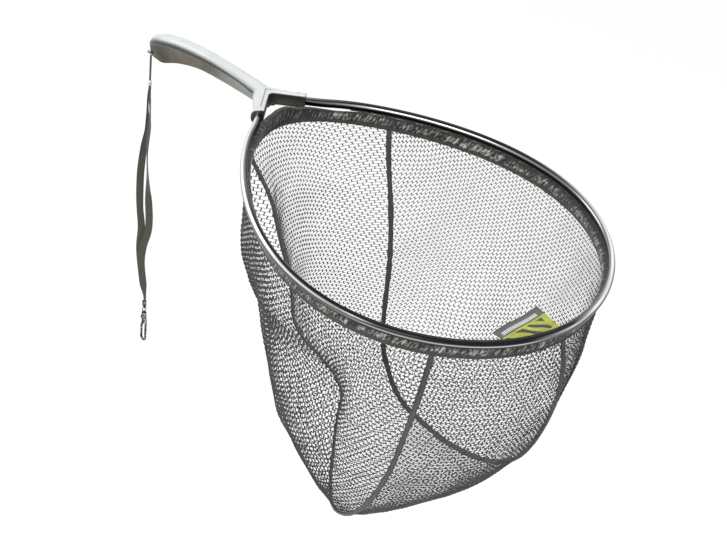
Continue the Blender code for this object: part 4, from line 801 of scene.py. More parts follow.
def paint_handle_shade(mesh):
    """Mark the sides' rough finish and painted shade, and the painted shade and painted reflection along
    crease, rim and collars, on the inner walls and at the arms' ends.
    """
    x, y, z = spots_of(mesh)
    rows = np.array(GRIP_ROWS[::-1])
    crown, crease = (np.interp(x - ARM_CROSSING.x, rows[:, 0], rows[:, k]) for k in (1, 2))
    above = z - crease
    along = (x - ARM_CROSSING.x) * ARM_ALONG.x + np.abs(y) * ARM_ALONG.y
    across = (x - ARM_CROSSING.x) * ARM_OUTWARD.x + np.abs(y) * ARM_OUTWARD.y
    grip = 1 - fade(x, ARM_CROSSING.x - 0.010, ARM_CROSSING.x - 0.002)
    inner_wall = (1 - fade(across, -ARM_INNER + 0.0002, -ARM_INNER + 0.0006)) * (1 - grip)
    # Painted shade: the grip's sides below the crease, the arms' undersides and their inner walls take the darker side
    # colour
    painted_side_shade = np.maximum(grip * (1 - fade(above, -0.0008, -0.0001)),
                       (1 - grip) * (1 - fade(z, -ARM_BOTTOM * 0.5, -ARM_BOTTOM * 0.1)))
    painted_side_shade = np.maximum(painted_side_shade, inner_wall * (1 - fade(z, ARM_TOP - 0.0006, ARM_TOP + 0.0004)))
    # Painted reflection: a dark band on the crown just above the crease
    painted_reflection = grip * (1 - fade(above / (crown - crease), 0.22, 0.88)) * fade(above, -0.0007, -0.0001)
    edge = -ARM_INNER + RIM_WIDTH + 0.0002
    collar = ARM_LENGTH - COLLAR_LENGTH
    top = fade(z, ARM_TOP - 0.0022, ARM_TOP - 0.0012) * (across < edge + 0.002)
    # Painted shade: a dark line at the foot of the yoke's rim, and one at each collar's edge
    line = np.exp(-((across - edge) / 0.0006) ** 2) * top * (along < collar) * (x > ARM_CROSSING.x - 0.004)
    ring = np.exp(-((along - collar + 0.0003) / 0.0006) ** 2) * fade(across, edge - 0.0006, edge)
    # Painted shade on the arms' inner walls, darkest high up, fading out at their top edge
    shade = inner_wall * (0.55 + 0.45 * fade(z, -0.003, ARM_TOP - 0.003))
    shade *= 1 - fade(z, ARM_TOP - 0.001, ARM_TOP + 0.001)
    # Painted shade on the arms' end faces round the sockets
    mouth = fade(along, ARM_LENGTH - 0.0007, ARM_LENGTH - 0.0002)
    # Painted light: the sides' painted shade is lighter towards the yoke
    painted_side_shade = painted_side_shade * (1 - 0.34 * grip * fade(x, ARM_CROSSING.x - 0.110, ARM_CROSSING.x - 0.020))
    mark(mesh, "painted_side_shade", painted_side_shade)
    mark(mesh, "painted_shade_and_reflection", np.maximum.reduce([0.95 * painted_reflection, 0.92 * line, 0.92 * ring, 0.93 * shade, 0.95 * mouth]))


def make_handle():
    shells = [loft("grip_shell", [grip_ring(ARM_CROSSING.x + row[0], *row[1:]) for row in GRIP_ROWS], None)]
    collar = ARM_LENGTH - COLLAR_LENGTH
    for flip in (False, True):
        shells.append(loft("arm_shell", [arm_ring(ARM_LENGTH * k / 40, flip) for k in range(41)], None))
        shells.append(loft("collar_shell", [arm_ring(collar + COLLAR_LENGTH * k / 4, flip, COLLAR_RISE)
                                            for k in range(5)], None))
    shells.append(slab("web_shell", crotch_outline(0), -ARM_BOTTOM, ARM_TOP + RIM_HEIGHT))
    shells.append(slab("lip_shell", crotch_outline(LIP_REACH), -ARM_BOTTOM, -ARM_BOTTOM + LIP_HEIGHT))
    body = joined("moulded_handle", shells, NYLON)
    remesh = body.modifiers.new("skin", "REMESH")
    remesh.mode = "VOXEL"
    remesh.voxel_size = 0.62 * MM
    soften = body.modifiers.new("rounds", "SMOOTH")
    soften.factor = 0.5
    soften.iterations = 4
    screw = SOCKET_MOUTH.lerp(TAIL[-1][0], 0.5)
    down = Vector((0, 0, ARM_BOTTOM + 0.002))
    cutters = [bored("cord_hole_cutter", HOLE - Vector((0, 0.012, 0)), HOLE + Vector((0, 0.012, 0)), CORD_HOLE_RADIUS)]
    for flip in (False, True):
        spot = mirror_y(screw) if flip else screw
        cutters.append(socket_cutter(flip))
        cutters.append(bored("screw_recess", spot - down, spot - Vector((0, 0, ARM_BOTTOM - SCREW_HEAD_RECESS)),
                             SCREW_HEAD_RADIUS + FIT))
        cutters.append(bored("screw_shank", spot - down, spot, SCREW_RADIUS + FIT))
    for cutter in cutters:
        cut = body.modifiers.new(cutter.name, "BOOLEAN")
        cut.operation = "DIFFERENCE"
        cut.solver = "MANIFOLD"
        cut.object = cutter
    baked(body)
    for cutter in cutters:
        bpy.data.objects.remove(cutter)
    body.data.shade_smooth()
    body.data.set_sharp_from_angle(angle=math.radians(50))
    paint_handle_shade(body.data)
    settle(body, "net", "handle", slot="moulded_grip")


make_handle()


# Hoop

def egg_stations(steps):
    body = [BEND_ANGLE * (2 * i / steps - 1) for i in range(steps + 1)]
    other = [(mirror_y(p), mirror_y(o)) for p, o in reversed(TAIL)]
    return other + [(hoop_point(a), hoop_outward(a)) for a in body] + TAIL


# The tube's painted reflections: turns round its section, in degrees from outwards over the top, and
# at places round the hoop, in degrees from the nose, how bright it is painted at each turn
REFLECTION_TURNS = (-60, -15, 0, 12, 25, 40, 55, 70, 85, 100, 115, 130, 145, 160, 180)
REFLECTION_BANDS = (
    (-180, (0, 0.1, 0.2, 0.2, 0.3, 0.6, 0.9, 1.0, 0.8, 0.5, 0.4, 0.2, 0.05, 0, 0)),
    (-143, (0, 0.2, 0.2, 0.2, 0.4, 0.9, 1.0, 1.0, 0.7, 0.4, 0.35, 0.2, 0.05, 0, 0)),
    (-127, (0, 0.2, 0.2, 0.3, 0.7, 1.0, 1.0, 0.9, 0.5, 0.4, 0.3, 0.05, 0, 0, 0)),
    (-100, (0, 0.1, 0.3, 0.2, 0.8, 1.0, 0.7, 0.3, 0.1, 0.1, 0.3, 0.4, 0.1, 0, 0)),
    (-78, (0, 0.05, 0.5, 0.15, 0.75, 0.85, 0.3, 0.08, 0.04, 0.06, 0.3, 0.6, 0.1, 0, 0)),
    (-55, (0, 0.15, 0.7, 0.5, 0.12, 0.14, 0.10, 0.06, 0.04, 0.05, 0.08, 0.3, 0.1, 0, 0)),
    (-15, (0, 0.25, 0.85, 0.3, 0.10, 0.14, 0.12, 0.08, 0.06, 0.05, 0.08, 0.2, 0.1, 0, 0)),
    (2, (0, 0.03, 0.2, 0.5, 0.9, 0.5, 0.15, 0.2, 0.25, 0.3, 0.2, 0.15, 0.1, 0, 0)),
    (14, (0, 0.02, 0.03, 0.05, 0.5, 0.95, 1.0, 0.8, 0.4, 0.5, 0.35, 0.2, 0.1, 0, 0)),
    (38, (0, 0, 0, 0.02, 0.04, 0.10, 0.6, 1.0, 1.0, 0.8, 0.45, 0.6, 0.2, 0, 0)),
    (70, (0, 0, 0, 0.1, 0.2, 0.3, 0.45, 0.6, 0.8, 0.5, 0.3, 0.45, 0.5, 0.1, 0)),
    (100, (0, 0, 0.1, 0.3, 0.4, 0.5, 0.5, 0.35, 0.12, 0.05, 0.05, 0.1, 0.6, 0.6, 0)),
    (145, (0, 0, 0.1, 0.3, 0.4, 0.5, 0.5, 0.35, 0.12, 0.05, 0.05, 0.1, 0.6, 0.6, 0)),
    (180, (0, 0.1, 0.2, 0.2, 0.3, 0.6, 0.9, 1.0, 0.8, 0.5, 0.4, 0.2, 0.05, 0, 0)),
)


# The welt's slot, low on the tube's inner side: turn and half its opening outside, then inside the bore
SLOT_TURN, SLOT_HALF_GAP, BORE_HALF_GAP = math.radians(225), 0.17, 0.32
BORE_RADIUS, BORE_ACROSS, BORE_UP = 0.0026, -0.0003, -0.0012


def make_hoop():
    """The tube drawn fine, with the slot for the net's welt."""
    turns, section = [], []
    count = 72
    for i in range(count + 1):
        a = SLOT_TURN + SLOT_HALF_GAP + 2 * (math.pi - SLOT_HALF_GAP) * i / count
        turns.append((math.degrees(a) + 180) % 360 - 180)
        section.append((TUBE_WIDTH / 2 * math.cos(a), TUBE_HEIGHT / 2 * math.sin(a)))
    count = 12
    for i in range(count + 1):
        a = SLOT_TURN - BORE_HALF_GAP - 2 * (math.pi - BORE_HALF_GAP) * i / count
        turns.append(-180)
        section.append((BORE_ACROSS + BORE_RADIUS * math.cos(a), BORE_UP + BORE_RADIUS * math.sin(a)))
    stations = egg_stations(300)
    rings = [[p + n * out + Vector((0, 0, z)) for n, z in section] for p, out in stations]
    tube = loft("hoop_tube", rings, TUBE, 40)
    places = np.array([place for place, levels in REFLECTION_BANDS])
    rows = np.array([np.interp(turns, REFLECTION_TURNS, levels) for place, levels in REFLECTION_BANDS])
    level = []
    for point, out in stations:
        fullness = HALF_WIDTH * (1 + NOSE_FULLNESS * point.x / HALF_LENGTH)
        place = math.degrees(math.atan2(point.y / fullness, point.x / HALF_LENGTH))
        k = min(int(np.searchsorted(places, place)), len(places) - 1)
        share = (place - places[k - 1]) / (places[k] - places[k - 1])
        level.append(rows[k - 1] * (1 - share) + rows[k] * share)
    # Painted reflection, from the table, at each of the tube's points
    mark(tube.data, "painted_reflection", np.concatenate(level))
    settle(tube, "net", "hoop", slot="gunmetal_tube")


make_hoop()


# Hem

def hem_top(angle):
    off_nose = abs((angle + math.pi) % (2 * math.pi) - math.pi)
    return -HEM_TOP - HEM_DIP * ease(off_nose, BEND_ANGLE - 0.22, BEND_ANGLE - 0.03)


# The gathered bundle in the yoke: how far it rises and swells, and where it ends beside the middle, with
# the right side nearer by its share; and how far it leans to each arm
BUNDLE_RISE, BUNDLE_GROWTH, BUNDLE_SPREAD, BUNDLE_RIGHT = 0.0085, 0.0030, (0.0200, 0.0640), 0.72
BUNDLE_LEFT_LEAN, BUNDLE_RIGHT_LEAN = 0.0065, 0.0025
# Folds: steps and pleats round the hem, and how far round each pleat slants on its way down
HEM_STEPS, PLEATS, PLEAT_SLANT = 1900, 330, 0.030


def bundle_share(angle):
    """How much of the gathered bundle there is: all in the middle of the yoke, none past its arms."""
    y = hoop_point(angle).y
    aside = abs(y) * (1.0 if y > 0 else BUNDLE_RIGHT) if math.cos(angle) < 0 else math.inf
    return 1 - ease(aside, *BUNDLE_SPREAD)


def make_hem():
    """Gathered sleeve with slanting folds; it is bunched higher and thicker between the yoke's arms."""
    outline = smooth_values([(-0.55, 0), (0.55, 0), (1, 0.25), (0.95, 0.7), (0.5, 1), (-0.5, 1), (-0.95, 0.7),
                             (-1, 0.25), (-0.55, 0)], 4)[:-1]
    rings, fold_shading_values = [], []
    for i in range(HEM_STEPS):
        angle = 2 * math.pi * i / HEM_STEPS
        share = bundle_share(angle)
        top = hem_top(angle) + BUNDLE_RISE * share
        y = hoop_point(angle).y
        beside_arm = (BUNDLE_LEFT_LEAN if y > 0 else BUNDLE_RIGHT_LEAN) * share * ease(abs(y), 0.004, 0.018)
        wander = 5 * noise.noise(Vector((math.cos(angle), math.sin(angle), 0)) * 16)
        ring = []
        for n, drop in outline:
            lean = angle - math.copysign(PLEAT_SLANT, -n) * drop
            spot = Vector((math.cos(lean), math.sin(lean), 0))
            coarse = noise.noise(spot * 60 + Vector((0, 0, drop * 0.9 + n * 0.4)))
            fine = noise.noise(spot * 200 + Vector((3, 1, drop * 3.0)))
            blotch = noise.noise(spot * 14 + Vector((5, 2, n)))
            pleat = math.sin(lean * PLEATS + wander + 2.5 * coarse)
            # Painted highlights and painted shade that follow the pleats and noise
            level = 0.52 + 0.42 * coarse + 0.70 * fine + 0.22 * blotch + (0.12 + 0.22 * share) * pleat
            # Painted shade: darker in the gathered bundle, next to the tube and towards the lower edge
            fold_shading_values.append(level - 0.26 * share - 0.30 * (1 - ease(drop, 0.0, 0.20)) - 0.42 * ease(drop, 0.72, 0.92))
            swell = 1 + 0.22 * coarse + 0.12 * fine + 0.07 * pleat
            reach = n * HEM_THICKNESS / 2 * swell + BUNDLE_GROWTH * share * min(1.0, max(n, 0.0))
            ring.append(beside_hoop(angle, HEM_INSET + beside_arm * (1 - drop) - reach, top + (-HEM_LOW - top) * drop))
        rings.append(ring)
    sleeve = loft("hem_sleeve", rings, HEM_MESH, 80, ring_run=True)
    mark(sleeve.data, "painted_fold_shading", np.array(fold_shading_values))
    settle(sleeve, "net", "hem_band", slot="black_mesh")


def make_binding():
    """Folded tape along the hem's lower edge."""
    half = BINDING_THICKNESS / 2
    outline = ((-0.7, 0), (0.7, 0), (1, 0.15), (1, 0.85), (0.7, 1), (-0.7, 1), (-1, 0.85), (-1, 0.15))
    rings = []
    steps = 420
    for i in range(steps):
        angle = 2 * math.pi * i / steps
        wave = 1 + 0.12 * noise.noise(Vector((math.cos(angle), math.sin(angle), 0)) * 18)
        rings.append([beside_hoop(angle, HEM_INSET - n * half * wave, -BINDING_TOP - BINDING_HEIGHT * z)
                      for n, z in outline])
    settle(loft("hem_edge_tape", rings, TAPE, 40, ring_run=True), "net", "hem_binding", slot="black_tape")


make_hem()
make_binding()


# Bag: the panels follow the CAD's own surfaces

BAG_DEPTH = 0.352
PANEL_STEPS = 32
FAR_ENDS = (math.radians(133.4), math.radians(2))
NEAR_ENDS = (math.radians(212), math.radians(319))
FAR_SEAM = (
    (-0.658, 0.623, -0.170), (-0.578, 0.599, -0.327), (-0.520, 0.580, -0.511), (-0.502, 0.574, -0.724),
    (-0.444, 0.549, -0.866), (-0.244, 0.475, -0.949), (0.013, 0.389, -0.923), (0.311, 0.284, -0.855),
    (0.649, 0.167, -0.722), (0.876, 0.086, -0.554), (0.996, 0.049, -0.335), (1.018, 0.037, -0.170),
)
NEAR_SEAM = (
    (-0.667, -0.407, -0.148), (-0.560, -0.420, -0.256), (-0.498, -0.370, -0.398), (-0.458, -0.321, -0.582),
    (-0.329, -0.210, -0.682), (-0.213, -0.148, -0.761), (-0.169, -0.210, -0.866), (-0.062, -0.346, -0.966),
    (0.089, -0.519, -1.000), (0.276, -0.654, -0.938), (0.444, -0.698, -0.810), (0.582, -0.716, -0.605),
    (0.662, -0.728, -0.395), (0.720, -0.741, -0.213),
)
STRIP_BULGES = (0.010, 0.022, 0.006)        # at the yoke, the bottom and the tip
STRIP_TURN, STRIP_FLAT = 0.55, 0.12         # share along it of the bottom, and of each end where bulges fade
TAPE_WIDTH, TAPE_THICKNESS = 0.0070, 0.0020


def seam_route(shares, ends):
    scale = (HALF_LENGTH, HALF_WIDTH, BAG_DEPTH)
    middle = [Vector((a * b for a, b in zip(share, scale))) for share in shares]
    first, last = (beside_hoop(angle, HEM_INSET, -BAG_TOP) for angle in ends)
    return smooth_route([first, *middle, last], PANEL_STEPS)


SEAMS = {"near": seam_route(NEAR_SEAM, NEAR_ENDS), "far": seam_route(FAR_SEAM, FAR_ENDS)}


def on_route(route, i):
    step = min(max(int(i), 0), len(route) - 2)
    return route[step].lerp(route[step + 1], i - step)


def along_hem(start, end, share):
    return beside_hoop(start + (end - start) * share, HEM_INSET, -BAG_TOP)


def strip_point(u, w):
    """Strip panel: u runs along it from the yoke to the nose, w from the near seam to the far one."""
    near, far = (on_route(SEAMS[side], u * PANEL_STEPS) for side in ("near", "far"))
    point = near.lerp(far, w)
    yoke_edge = along_hem(NEAR_ENDS[0], FAR_ENDS[0], w)
    tip_edge = along_hem(NEAR_ENDS[1], FAR_ENDS[1] + 2 * math.pi, w)
    point = point + (1 - u) ** 2 * (yoke_edge - SEAMS["near"][0].lerp(SEAMS["far"][0], w))
    point = point + u ** 2 * (tip_edge - SEAMS["near"][-1].lerp(SEAMS["far"][-1], w))
    centre = Vector((HALF_LENGTH * 0.09, 0, -BAG_DEPTH * 0.34))
    yoke, bottom, tip = STRIP_BULGES
    if u < STRIP_TURN:
        bulge = yoke + (bottom - yoke) * math.sin(math.pi * u / STRIP_TURN / 2) ** 2
    else:
        bulge = tip + (bottom - tip) * math.sin(math.pi * (1 - u) / (1 - STRIP_TURN) / 2) ** 2
    bulge *= min(1.0, u / STRIP_FLAT, (1 - u) / STRIP_FLAT)
    return point + (point - centre).normalized() * bulge * 4 * w * (1 - w)


# Each side panel's ends on the hem, the way that it bulges and how far
SIDES = {"near": (NEAR_ENDS, Vector((-0.25, -1, -0.35)).normalized(), 0.035),
         "far": (FAR_ENDS, Vector((0.3, 1, -0.35)).normalized(), 0.012)}


def side_point(side, a, b):
    """Side panel: a runs along the hem, b from the hem down to the seam."""
    ends, outward, bulge = SIDES[side]
    swell = bulge * max(0.0, math.sin(math.pi * a)) ** 0.7 * math.sin(math.pi * min(1.0, max(0.0, b)) ** 0.9)
    return along_hem(*ends, a).lerp(on_route(SEAMS[side], a * PANEL_STEPS), b) + outward * swell


def node_group(name, sizes, grow, finish):
    """A Geometry Nodes group with the named sizes as inputs. What grow makes from the given lines and sizes
    is turned real, smoothed and given its finish."""
    tree = bpy.data.node_groups.new(name, "GeometryNodeTree")
    tree.interface.new_socket("Geometry", in_out="INPUT", socket_type="NodeSocketGeometry")
    for size in sizes:
        tree.interface.new_socket(size, in_out="INPUT", socket_type="NodeSocketFloat")
    tree.interface.new_socket("Geometry", in_out="OUTPUT", socket_type="NodeSocketGeometry")
    made = grow(tree, put(tree, "NodeGroupInput").outputs)
    for kind, more in (("GeometryNodeRealizeInstances", {}), ("GeometryNodeSetShadeSmooth", {}),
                       ("GeometryNodeSetMaterial", {"Material": finish}), ("NodeGroupOutput", {})):
        made = put(tree, kind, {"Geometry": made, **more})
    return tree


def strands(tree, given):
    """Netting from a mesh of edges: twisted bars where two yarns meet, and thinner legs between them."""
    bar = put(tree, "GeometryNodeInputNamedAttribute", {"Name": "bar"}, data_type="BOOLEAN")
    not_bar = put(tree, "FunctionNodeBooleanMath", {0: bar}, operation="NOT")
    both = put(tree, "GeometryNodeJoinGeometry")
    for chosen, size, sides, capped in ((not_bar, "Leg Radius", 3, False), (bar, "Bar Radius", 4, True)):
        lines = put(tree, "GeometryNodeMeshToCurve", {"Mesh": given["Geometry"], "Selection": chosen})
        ring = put(tree, "GeometryNodeCurvePrimitiveCircle", {"Resolution": sides, "Radius": given[size]})
        feed(both, {"Geometry": put(tree, "GeometryNodeCurveToMesh", {
            "Curve": lines, "Profile Curve": ring, "Fill Caps": capped})})
    return both


def thread(tree, given):
    """Short thread stitches laid at an even spacing along a line."""
    line = put(tree, "GeometryNodeMeshToCurve", {"Mesh": given["Geometry"]})
    spots = put(tree, "GeometryNodeCurveToPoints", {"Curve": line, "Length": given["Spacing"]}, mode="LENGTH")
    stitch = put(tree, "GeometryNodeMeshCylinder", {
        "Vertices": 6, "Radius": given["Thread Radius"], "Depth": given["Stitch"]})
    return put(tree, "GeometryNodeInstanceOnPoints", {
        "Points": spots.outputs["Points"], "Instance": stitch.outputs["Mesh"], "Rotation": spots.outputs["Rotation"]})


STRANDS = node_group("netting_strands", ("Bar Radius", "Leg Radius"), strands, YARN)
STITCHES = node_group("stitches", ("Spacing", "Stitch", "Thread Radius"), thread, THREAD)


def grown(name, points, links, group, sizes, bars=()):
    """What a node group grows on a mesh of edges, with its sizes by name; bars marks the twisted edges."""
    piece = new_object(name, [p + HOOP_CENTRE for p in points], [], None, 180, edges=links)
    if bars:
        piece.data.attributes.new("bar", "BOOLEAN", "EDGE").data.foreach_set("value", bars)
    step = piece.modifiers.new("growth", "NODES")
    step.node_group = group
    for item in group.interface.items_tree:
        if item.in_out == "INPUT" and item.name in sizes:
            step[item.identifier] = sizes[item.name]
    return baked(piece)


ARC_STEPS = 200
ARC_SHARES = [k / ARC_STEPS for k in range(ARC_STEPS + 1)]


def hex_net(first, second, bar, size_u, size_v):
    """Nodes and links of six-sided netting over a flat field; first and second are the steps between bars."""
    spots, links, bars = [], [], []
    index = {}
    determinant = first[0] * second[1] - first[1] * second[0]
    corners = [(0, 0), (size_u, 0), (0, size_v), (size_u, size_v)]
    shares = [((u * second[1] - v * second[0]) / determinant, (v * first[0] - u * first[1]) / determinant)
              for u, v in corners]
    rows = range(math.floor(min(s[0] for s in shares)) - 1, math.ceil(max(s[0] for s in shares)) + 2)
    columns = range(math.floor(min(s[1] for s in shares)) - 1, math.ceil(max(s[1] for s in shares)) + 2)
    for i in rows:
        for j in columns:
            u, v = i * first[0] + j * second[0], i * first[1] + j * second[1]
            for end, sign in ((0, -0.5), (1, 0.5)):
                index[i, j, end] = len(spots)
                spots.append((u + sign * bar[0], v + sign * bar[1]))
    for i in rows:
        for j in columns:
            links.append((index[i, j, 0], index[i, j, 1]))
            bars.append(True)
            for di, dj in ((1, 0), (0, 1)):
                other = index.get((i + di, j + dj, 0))
                if other is not None:
                    links.append((index[i, j, 1], other))
                    bars.append(False)
    return spots, links, bars


def trimmed_net(spots, links, bars, inside):
    """Keep the links with an end inside; inside gives a spot's place, moved to the edge, and if it is in."""
    placed = {}
    kept_links, kept_bars = [], []
    results = [inside(*spot) for spot in spots]
    for (a, b), bar in zip(links, bars):
        if (results[a][1] or results[b][1]) and results[a][0] is not None and results[b][0] is not None:
            pair = []
            for k in (a, b):
                placed.setdefault(k, len(placed))
                pair.append(placed[k])
            kept_links.append(tuple(pair))
            kept_bars.append(bar)
    order = sorted(placed, key=placed.get)
    return [results[k][0] for k in order], kept_links, kept_bars


def uneven(u, v, size):
    """Knots sit a little off their places, each in its own way."""
    drift = noise.noise_vector(Vector((u * 610, v * 610, 3.7)))
    return u + size * drift.x, v + size * drift.y


def rumple(point, strength):
    """Small uneven folds of hanging netting."""
    big = noise.noise_vector(point * 22)
    small = noise.noise_vector(point * 75 + Vector((5, 2, 8)))
    return point + strength * (big * 2.2 * MM + small * 0.5 * MM)


# The netting: half thicknesses of its bars and legs, how far knots stray, how far past a panel they are
# still placed, and how far from a seam the last ones end
BAR_RADIUS, STRIP_LEG_RADIUS, SIDE_LEG_RADIUS = 0.78 * MM, 0.30 * MM, 0.32 * MM
KNOT_DRIFT, NET_OVERRUN, NET_EDGE = 0.5 * MM, 6 * MM, 1.5 * MM
# Steps from knot to knot along the two rows of each panel, and how a side panel's rows lean as they run on
STRIP_STEPS, STRIP_BAR = ((4.4 * MM, -3.25 * MM), (1.1 * MM, 4.9 * MM)), (2.6 * MM, 0.8 * MM)
NET_STEPS = {"far": ((3.77 * MM, 0), (1.85 * MM, 7.25 * MM)), "near": ((3.6 * MM, 0), (1.6 * MM, 7.0 * MM))}
NET_LEAN = {"far": (0.32, 1.85), "near": (0.60, 0.6)}


def make_net(name, node, net, inside, leg_radius):
    spots, links, bars = trimmed_net(*net, inside)
    sizes = {"Bar Radius": BAR_RADIUS, "Leg Radius": leg_radius}
    settle(grown(name, spots, links, STRANDS, sizes, bars), "net", node, slot="black_mesh")


def make_strip_net():
    """The long panel: bars run along it, and its cells keep their size as it widens."""
    middle = travelled([strip_point(u, 0.5) for u in ARC_SHARES])
    widths = np.array([(strip_point(u, 1) - strip_point(u, 0)).length for u in ARC_SHARES])
    length, widest = middle[-1], float(widths.max()) * 1.1
    spots, links, bars = hex_net(*STRIP_STEPS, STRIP_BAR, length, widest)
    spots = [uneven(u, v - widest / 2, KNOT_DRIFT) for u, v in spots]

    def inside(u, v):
        if not -NET_OVERRUN < u < length + NET_OVERRUN:
            return None, False
        share = float(np.interp(u, middle, ARC_SHARES))
        half = float(np.interp(share, ARC_SHARES, widths)) / 2
        if abs(v) > half + NET_OVERRUN:
            return None, False
        w = 0.5 + min(max(v, NET_EDGE - half), half - NET_EDGE) / (2 * half)
        slack = max(0.0, min(1.0, w / 0.08, (1 - w) / 0.08, share / 0.03, (1 - share) / 0.03))
        return rumple(strip_point(share, w), slack), abs(v) < half and 0 < u < length

    make_net("strip_netting", "bag_strip", (spots, links, bars), inside, STRIP_LEG_RADIUS)


def make_side_net(side):
    """A side panel: the cells' rows run along the hem and down to the seam."""
    hem = travelled([side_point(side, a, 0) for a in ARC_SHARES])
    drops = np.array([travelled([side_point(side, a, k / 12) for k in range(13)])[-1] for a in ARC_SHARES])
    length, deepest = hem[-1], float(drops.max())
    across, down = NET_STEPS[side]
    bar = [0.48 * (a + b) for a, b in zip(across, down)]
    lean, bow = NET_LEAN[side]
    spots, links, bars = hex_net(across, down, bar, length, deepest * 1.6 + 0.12)
    spots = [uneven(u, v - 0.06 - lean * u - bow * u * u, KNOT_DRIFT) for u, v in spots]

    def inside(u, v):
        if not -NET_OVERRUN < u < length + NET_OVERRUN or v < -NET_OVERRUN:
            return None, False
        a = float(np.interp(u, hem, ARC_SHARES))
        drop = float(np.interp(a, ARC_SHARES, drops))
        if v > drop + NET_OVERRUN:
            return None, False
        b = min(max(v, 0.0), max(drop - NET_EDGE, 0.0)) / max(drop, 1e-6)
        slack = max(0.0, min(1.0, b / 0.06, (1 - b) / 0.1, a / 0.05, (1 - a) / 0.05))
        return rumple(side_point(side, a, b), slack), 0 < u < length and 0 < v < drop

    make_net(f"side_netting_{side}", f"bag_side_{side}", (spots, links, bars), inside, SIDE_LEG_RADIUS)


make_strip_net()
make_side_net("near")
make_side_net("far")


def stitched(name, slot, rows, spacing=3.2 * MM, stitch=2.1 * MM, radius=0.22 * MM):
    """Rows of stitches along lines of points."""
    points, links = [], []
    for row in rows:
        links += [(len(points) + k, len(points) + k + 1) for k in range(len(row) - 1)]
        points += row
    sizes = {"Spacing": spacing, "Stitch": stitch, "Thread Radius": radius}
    settle(grown(name, points, links, STITCHES, sizes), "net", slot=slot)


def make_tape(side):
    """Binding tape folded over a panel seam, a little uneven along its length."""
    steps = 300
    route = SEAMS[side]
    rings = []
    outline = ((-1, -0.3), (-0.85, -0.9), (0, -1), (0.85, -0.9), (1, -0.3), (1, 0.3), (0.85, 0.9), (0, 1),
               (-0.85, 0.9), (-1, 0.3))
    frames = []
    for i in range(PANEL_STEPS + 1):
        j = min(max(i, 1), PANEL_STEPS - 1) / PANEL_STEPS
        edge, inner = (0, 0.04) if side == "near" else (1, 0.96)
        into_strip = strip_point(j, inner) - strip_point(j, edge)
        into_side = side_point(side, j, 0.96) - side_point(side, j, 1)
        tangent = (route[min(i + 1, PANEL_STEPS)] - route[max(i - 1, 0)]).normalized()
        if i in (0, PANEL_STEPS):
            tangent = Vector((0, 0, -1 if i == 0 else 1))
        width = into_strip.normalized() - into_side.normalized()
        width = (width - width.dot(tangent) * tangent).normalized()
        frames.append((tangent, width))
    smooth = smooth_route(route, steps)
    for k, point in enumerate(smooth):
        place = k / steps * PANEL_STEPS
        i = min(int(place), PANEL_STEPS - 1)
        tangent = frames[i][0].lerp(frames[i + 1][0], place - i).normalized()
        width = frames[i][1].lerp(frames[i + 1][1], place - i)
        width = (width - width.dot(tangent) * tangent).normalized()
        thick = tangent.cross(width)
        ragged = 0.84 + 0.24 * noise.noise(point * 90) + 0.16 * noise.noise(point * 260)
        rings.append([point + a * ragged * TAPE_WIDTH / 2 * width + b * TAPE_THICKNESS / 2 * thick
                      for a, b in outline])
    settle(loft(f"seam_binding_{side}", rings, TAPE, 40), "net", f"seam_tape_{side}", slot="black_tape")
    rows = []
    for low, high in ((1, 3), (8, 6)):
        for share in (0.12, 0.88):
            rows.append([ring[low].lerp(ring[high], share) for ring in rings[3:-3]])
    stitched(f"seam_stitches_{side}", "black_tape", rows)


make_tape("near")
make_tape("far")


# Tag

LABEL_AT, LABEL_SKEW = math.radians(352), math.radians(15)
LABEL_LENGTH, LABEL_REACH, LABEL_HALF_THICKNESS = 0.066, 0.0315, 0.0004
LABEL_DROP, LABEL_SLOPE, LABEL_CURL = 0.004, 0.12, 0.0012       # from the hem's top, and as it runs inwards
LABEL_SHIFT, LABEL_SPREAD = 0.0035, 0.0045      # how much further its free edge starts, and how much longer it is
LABEL_STITCH_INSET = 0.0018


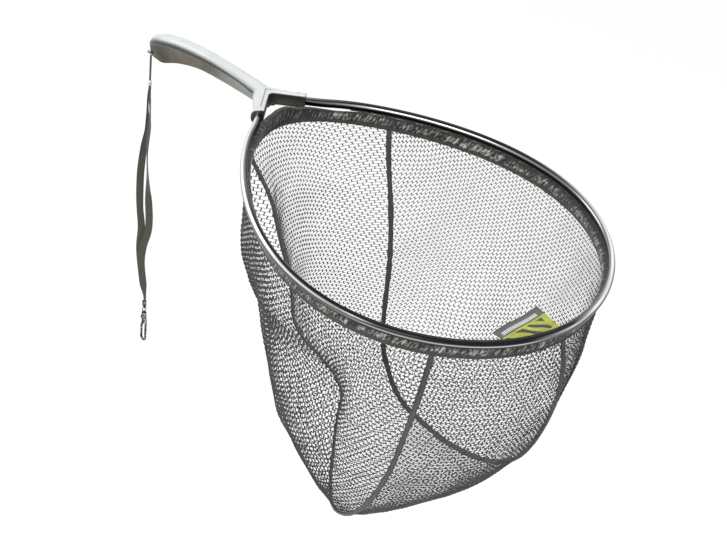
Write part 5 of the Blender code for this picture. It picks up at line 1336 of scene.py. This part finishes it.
def make_label():
    """Sewn tag: it hangs inwards from the hem, nearly level and a little curled."""
    inward = Matrix.Rotation(LABEL_SKEW, 3, "Z") @ -hoop_outward(LABEL_AT)
    along = Vector((inward.y, -inward.x, 0))
    half_turn = LABEL_LENGTH / (HALF_WIDTH * (1 + NOSE_FULLNESS + SIDE_FULLNESS)) / 2
    edge = [beside_hoop(LABEL_AT + (k / 16 - 1) * half_turn, HEM_INSET + HEM_THICKNESS / 2 + FIT,
                        -HEM_TOP - LABEL_DROP) for k in range(33)]
    middle = edge[16]
    flat = [((p - middle).dot(along), (p - middle).dot(inward)) for p in edge]
    first, last = flat[0][0], flat[-1][0]
    rings = []
    for k, (a, b) in enumerate(flat):
        far = (first - LABEL_SHIFT) + (last - first + LABEL_SPREAD) * k / 32
        ring = []
        for side in (-1, 1):
            for s in [m / 12 for m in range(13)][::-side]:
                reach = b + (LABEL_REACH - b) * s
                curl = LABEL_CURL * s * s * math.sin(2.2 * math.pi * k / 32) + side * LABEL_HALF_THICKNESS
                ring.append(middle + (a + (far - a) * s) * along + reach * inward
                            + Vector((0, 0, curl + LABEL_SLOPE * reach)))
        rings.append(ring)
    tag = loft("sewn_tag", rings, TAG, 40)
    layer = tag.data.uv_layers["metres"].data
    for loop in tag.data.loops:
        spot = tag.data.vertices[loop.vertex_index].co - HOOP_CENTRE - middle
        layer[loop.index].uv = (spot.dot(along), spot.dot(inward))
    settle(tag, "net", "label", slot="label_cloth")
    reach = LABEL_REACH - LABEL_STITCH_INSET
    rim = [middle + (first + (last - first) * k / 24) * along + reach * inward
           + Vector((0, 0, 0.0006 + 0.0011 * math.sin(2.2 * math.pi * k / 24) + LABEL_SLOPE * reach))
           for k in range(25)]
    stitched("tag_stitches", "label_cloth", [rim], 2.4 * MM, 1.6 * MM, 0.2 * MM)


make_label()

# Two rows of stitches through the hem's tape
turns = [2 * math.pi * k / 600 for k in range(601)]
stitched("hem_edge_stitches", "black_tape", [
    [beside_hoop(turn, HEM_INSET - n * (BINDING_THICKNESS / 2 + 0.0003), -BINDING_TOP - 0.5 * BINDING_HEIGHT)
     for turn in turns] for n in (-1, 1)])

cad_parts["hem_welt"].data.materials.clear()
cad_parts["hem_welt"].data.materials.append(TAPE)


bpy.context.scene.view_settings.view_transform = "Standard"
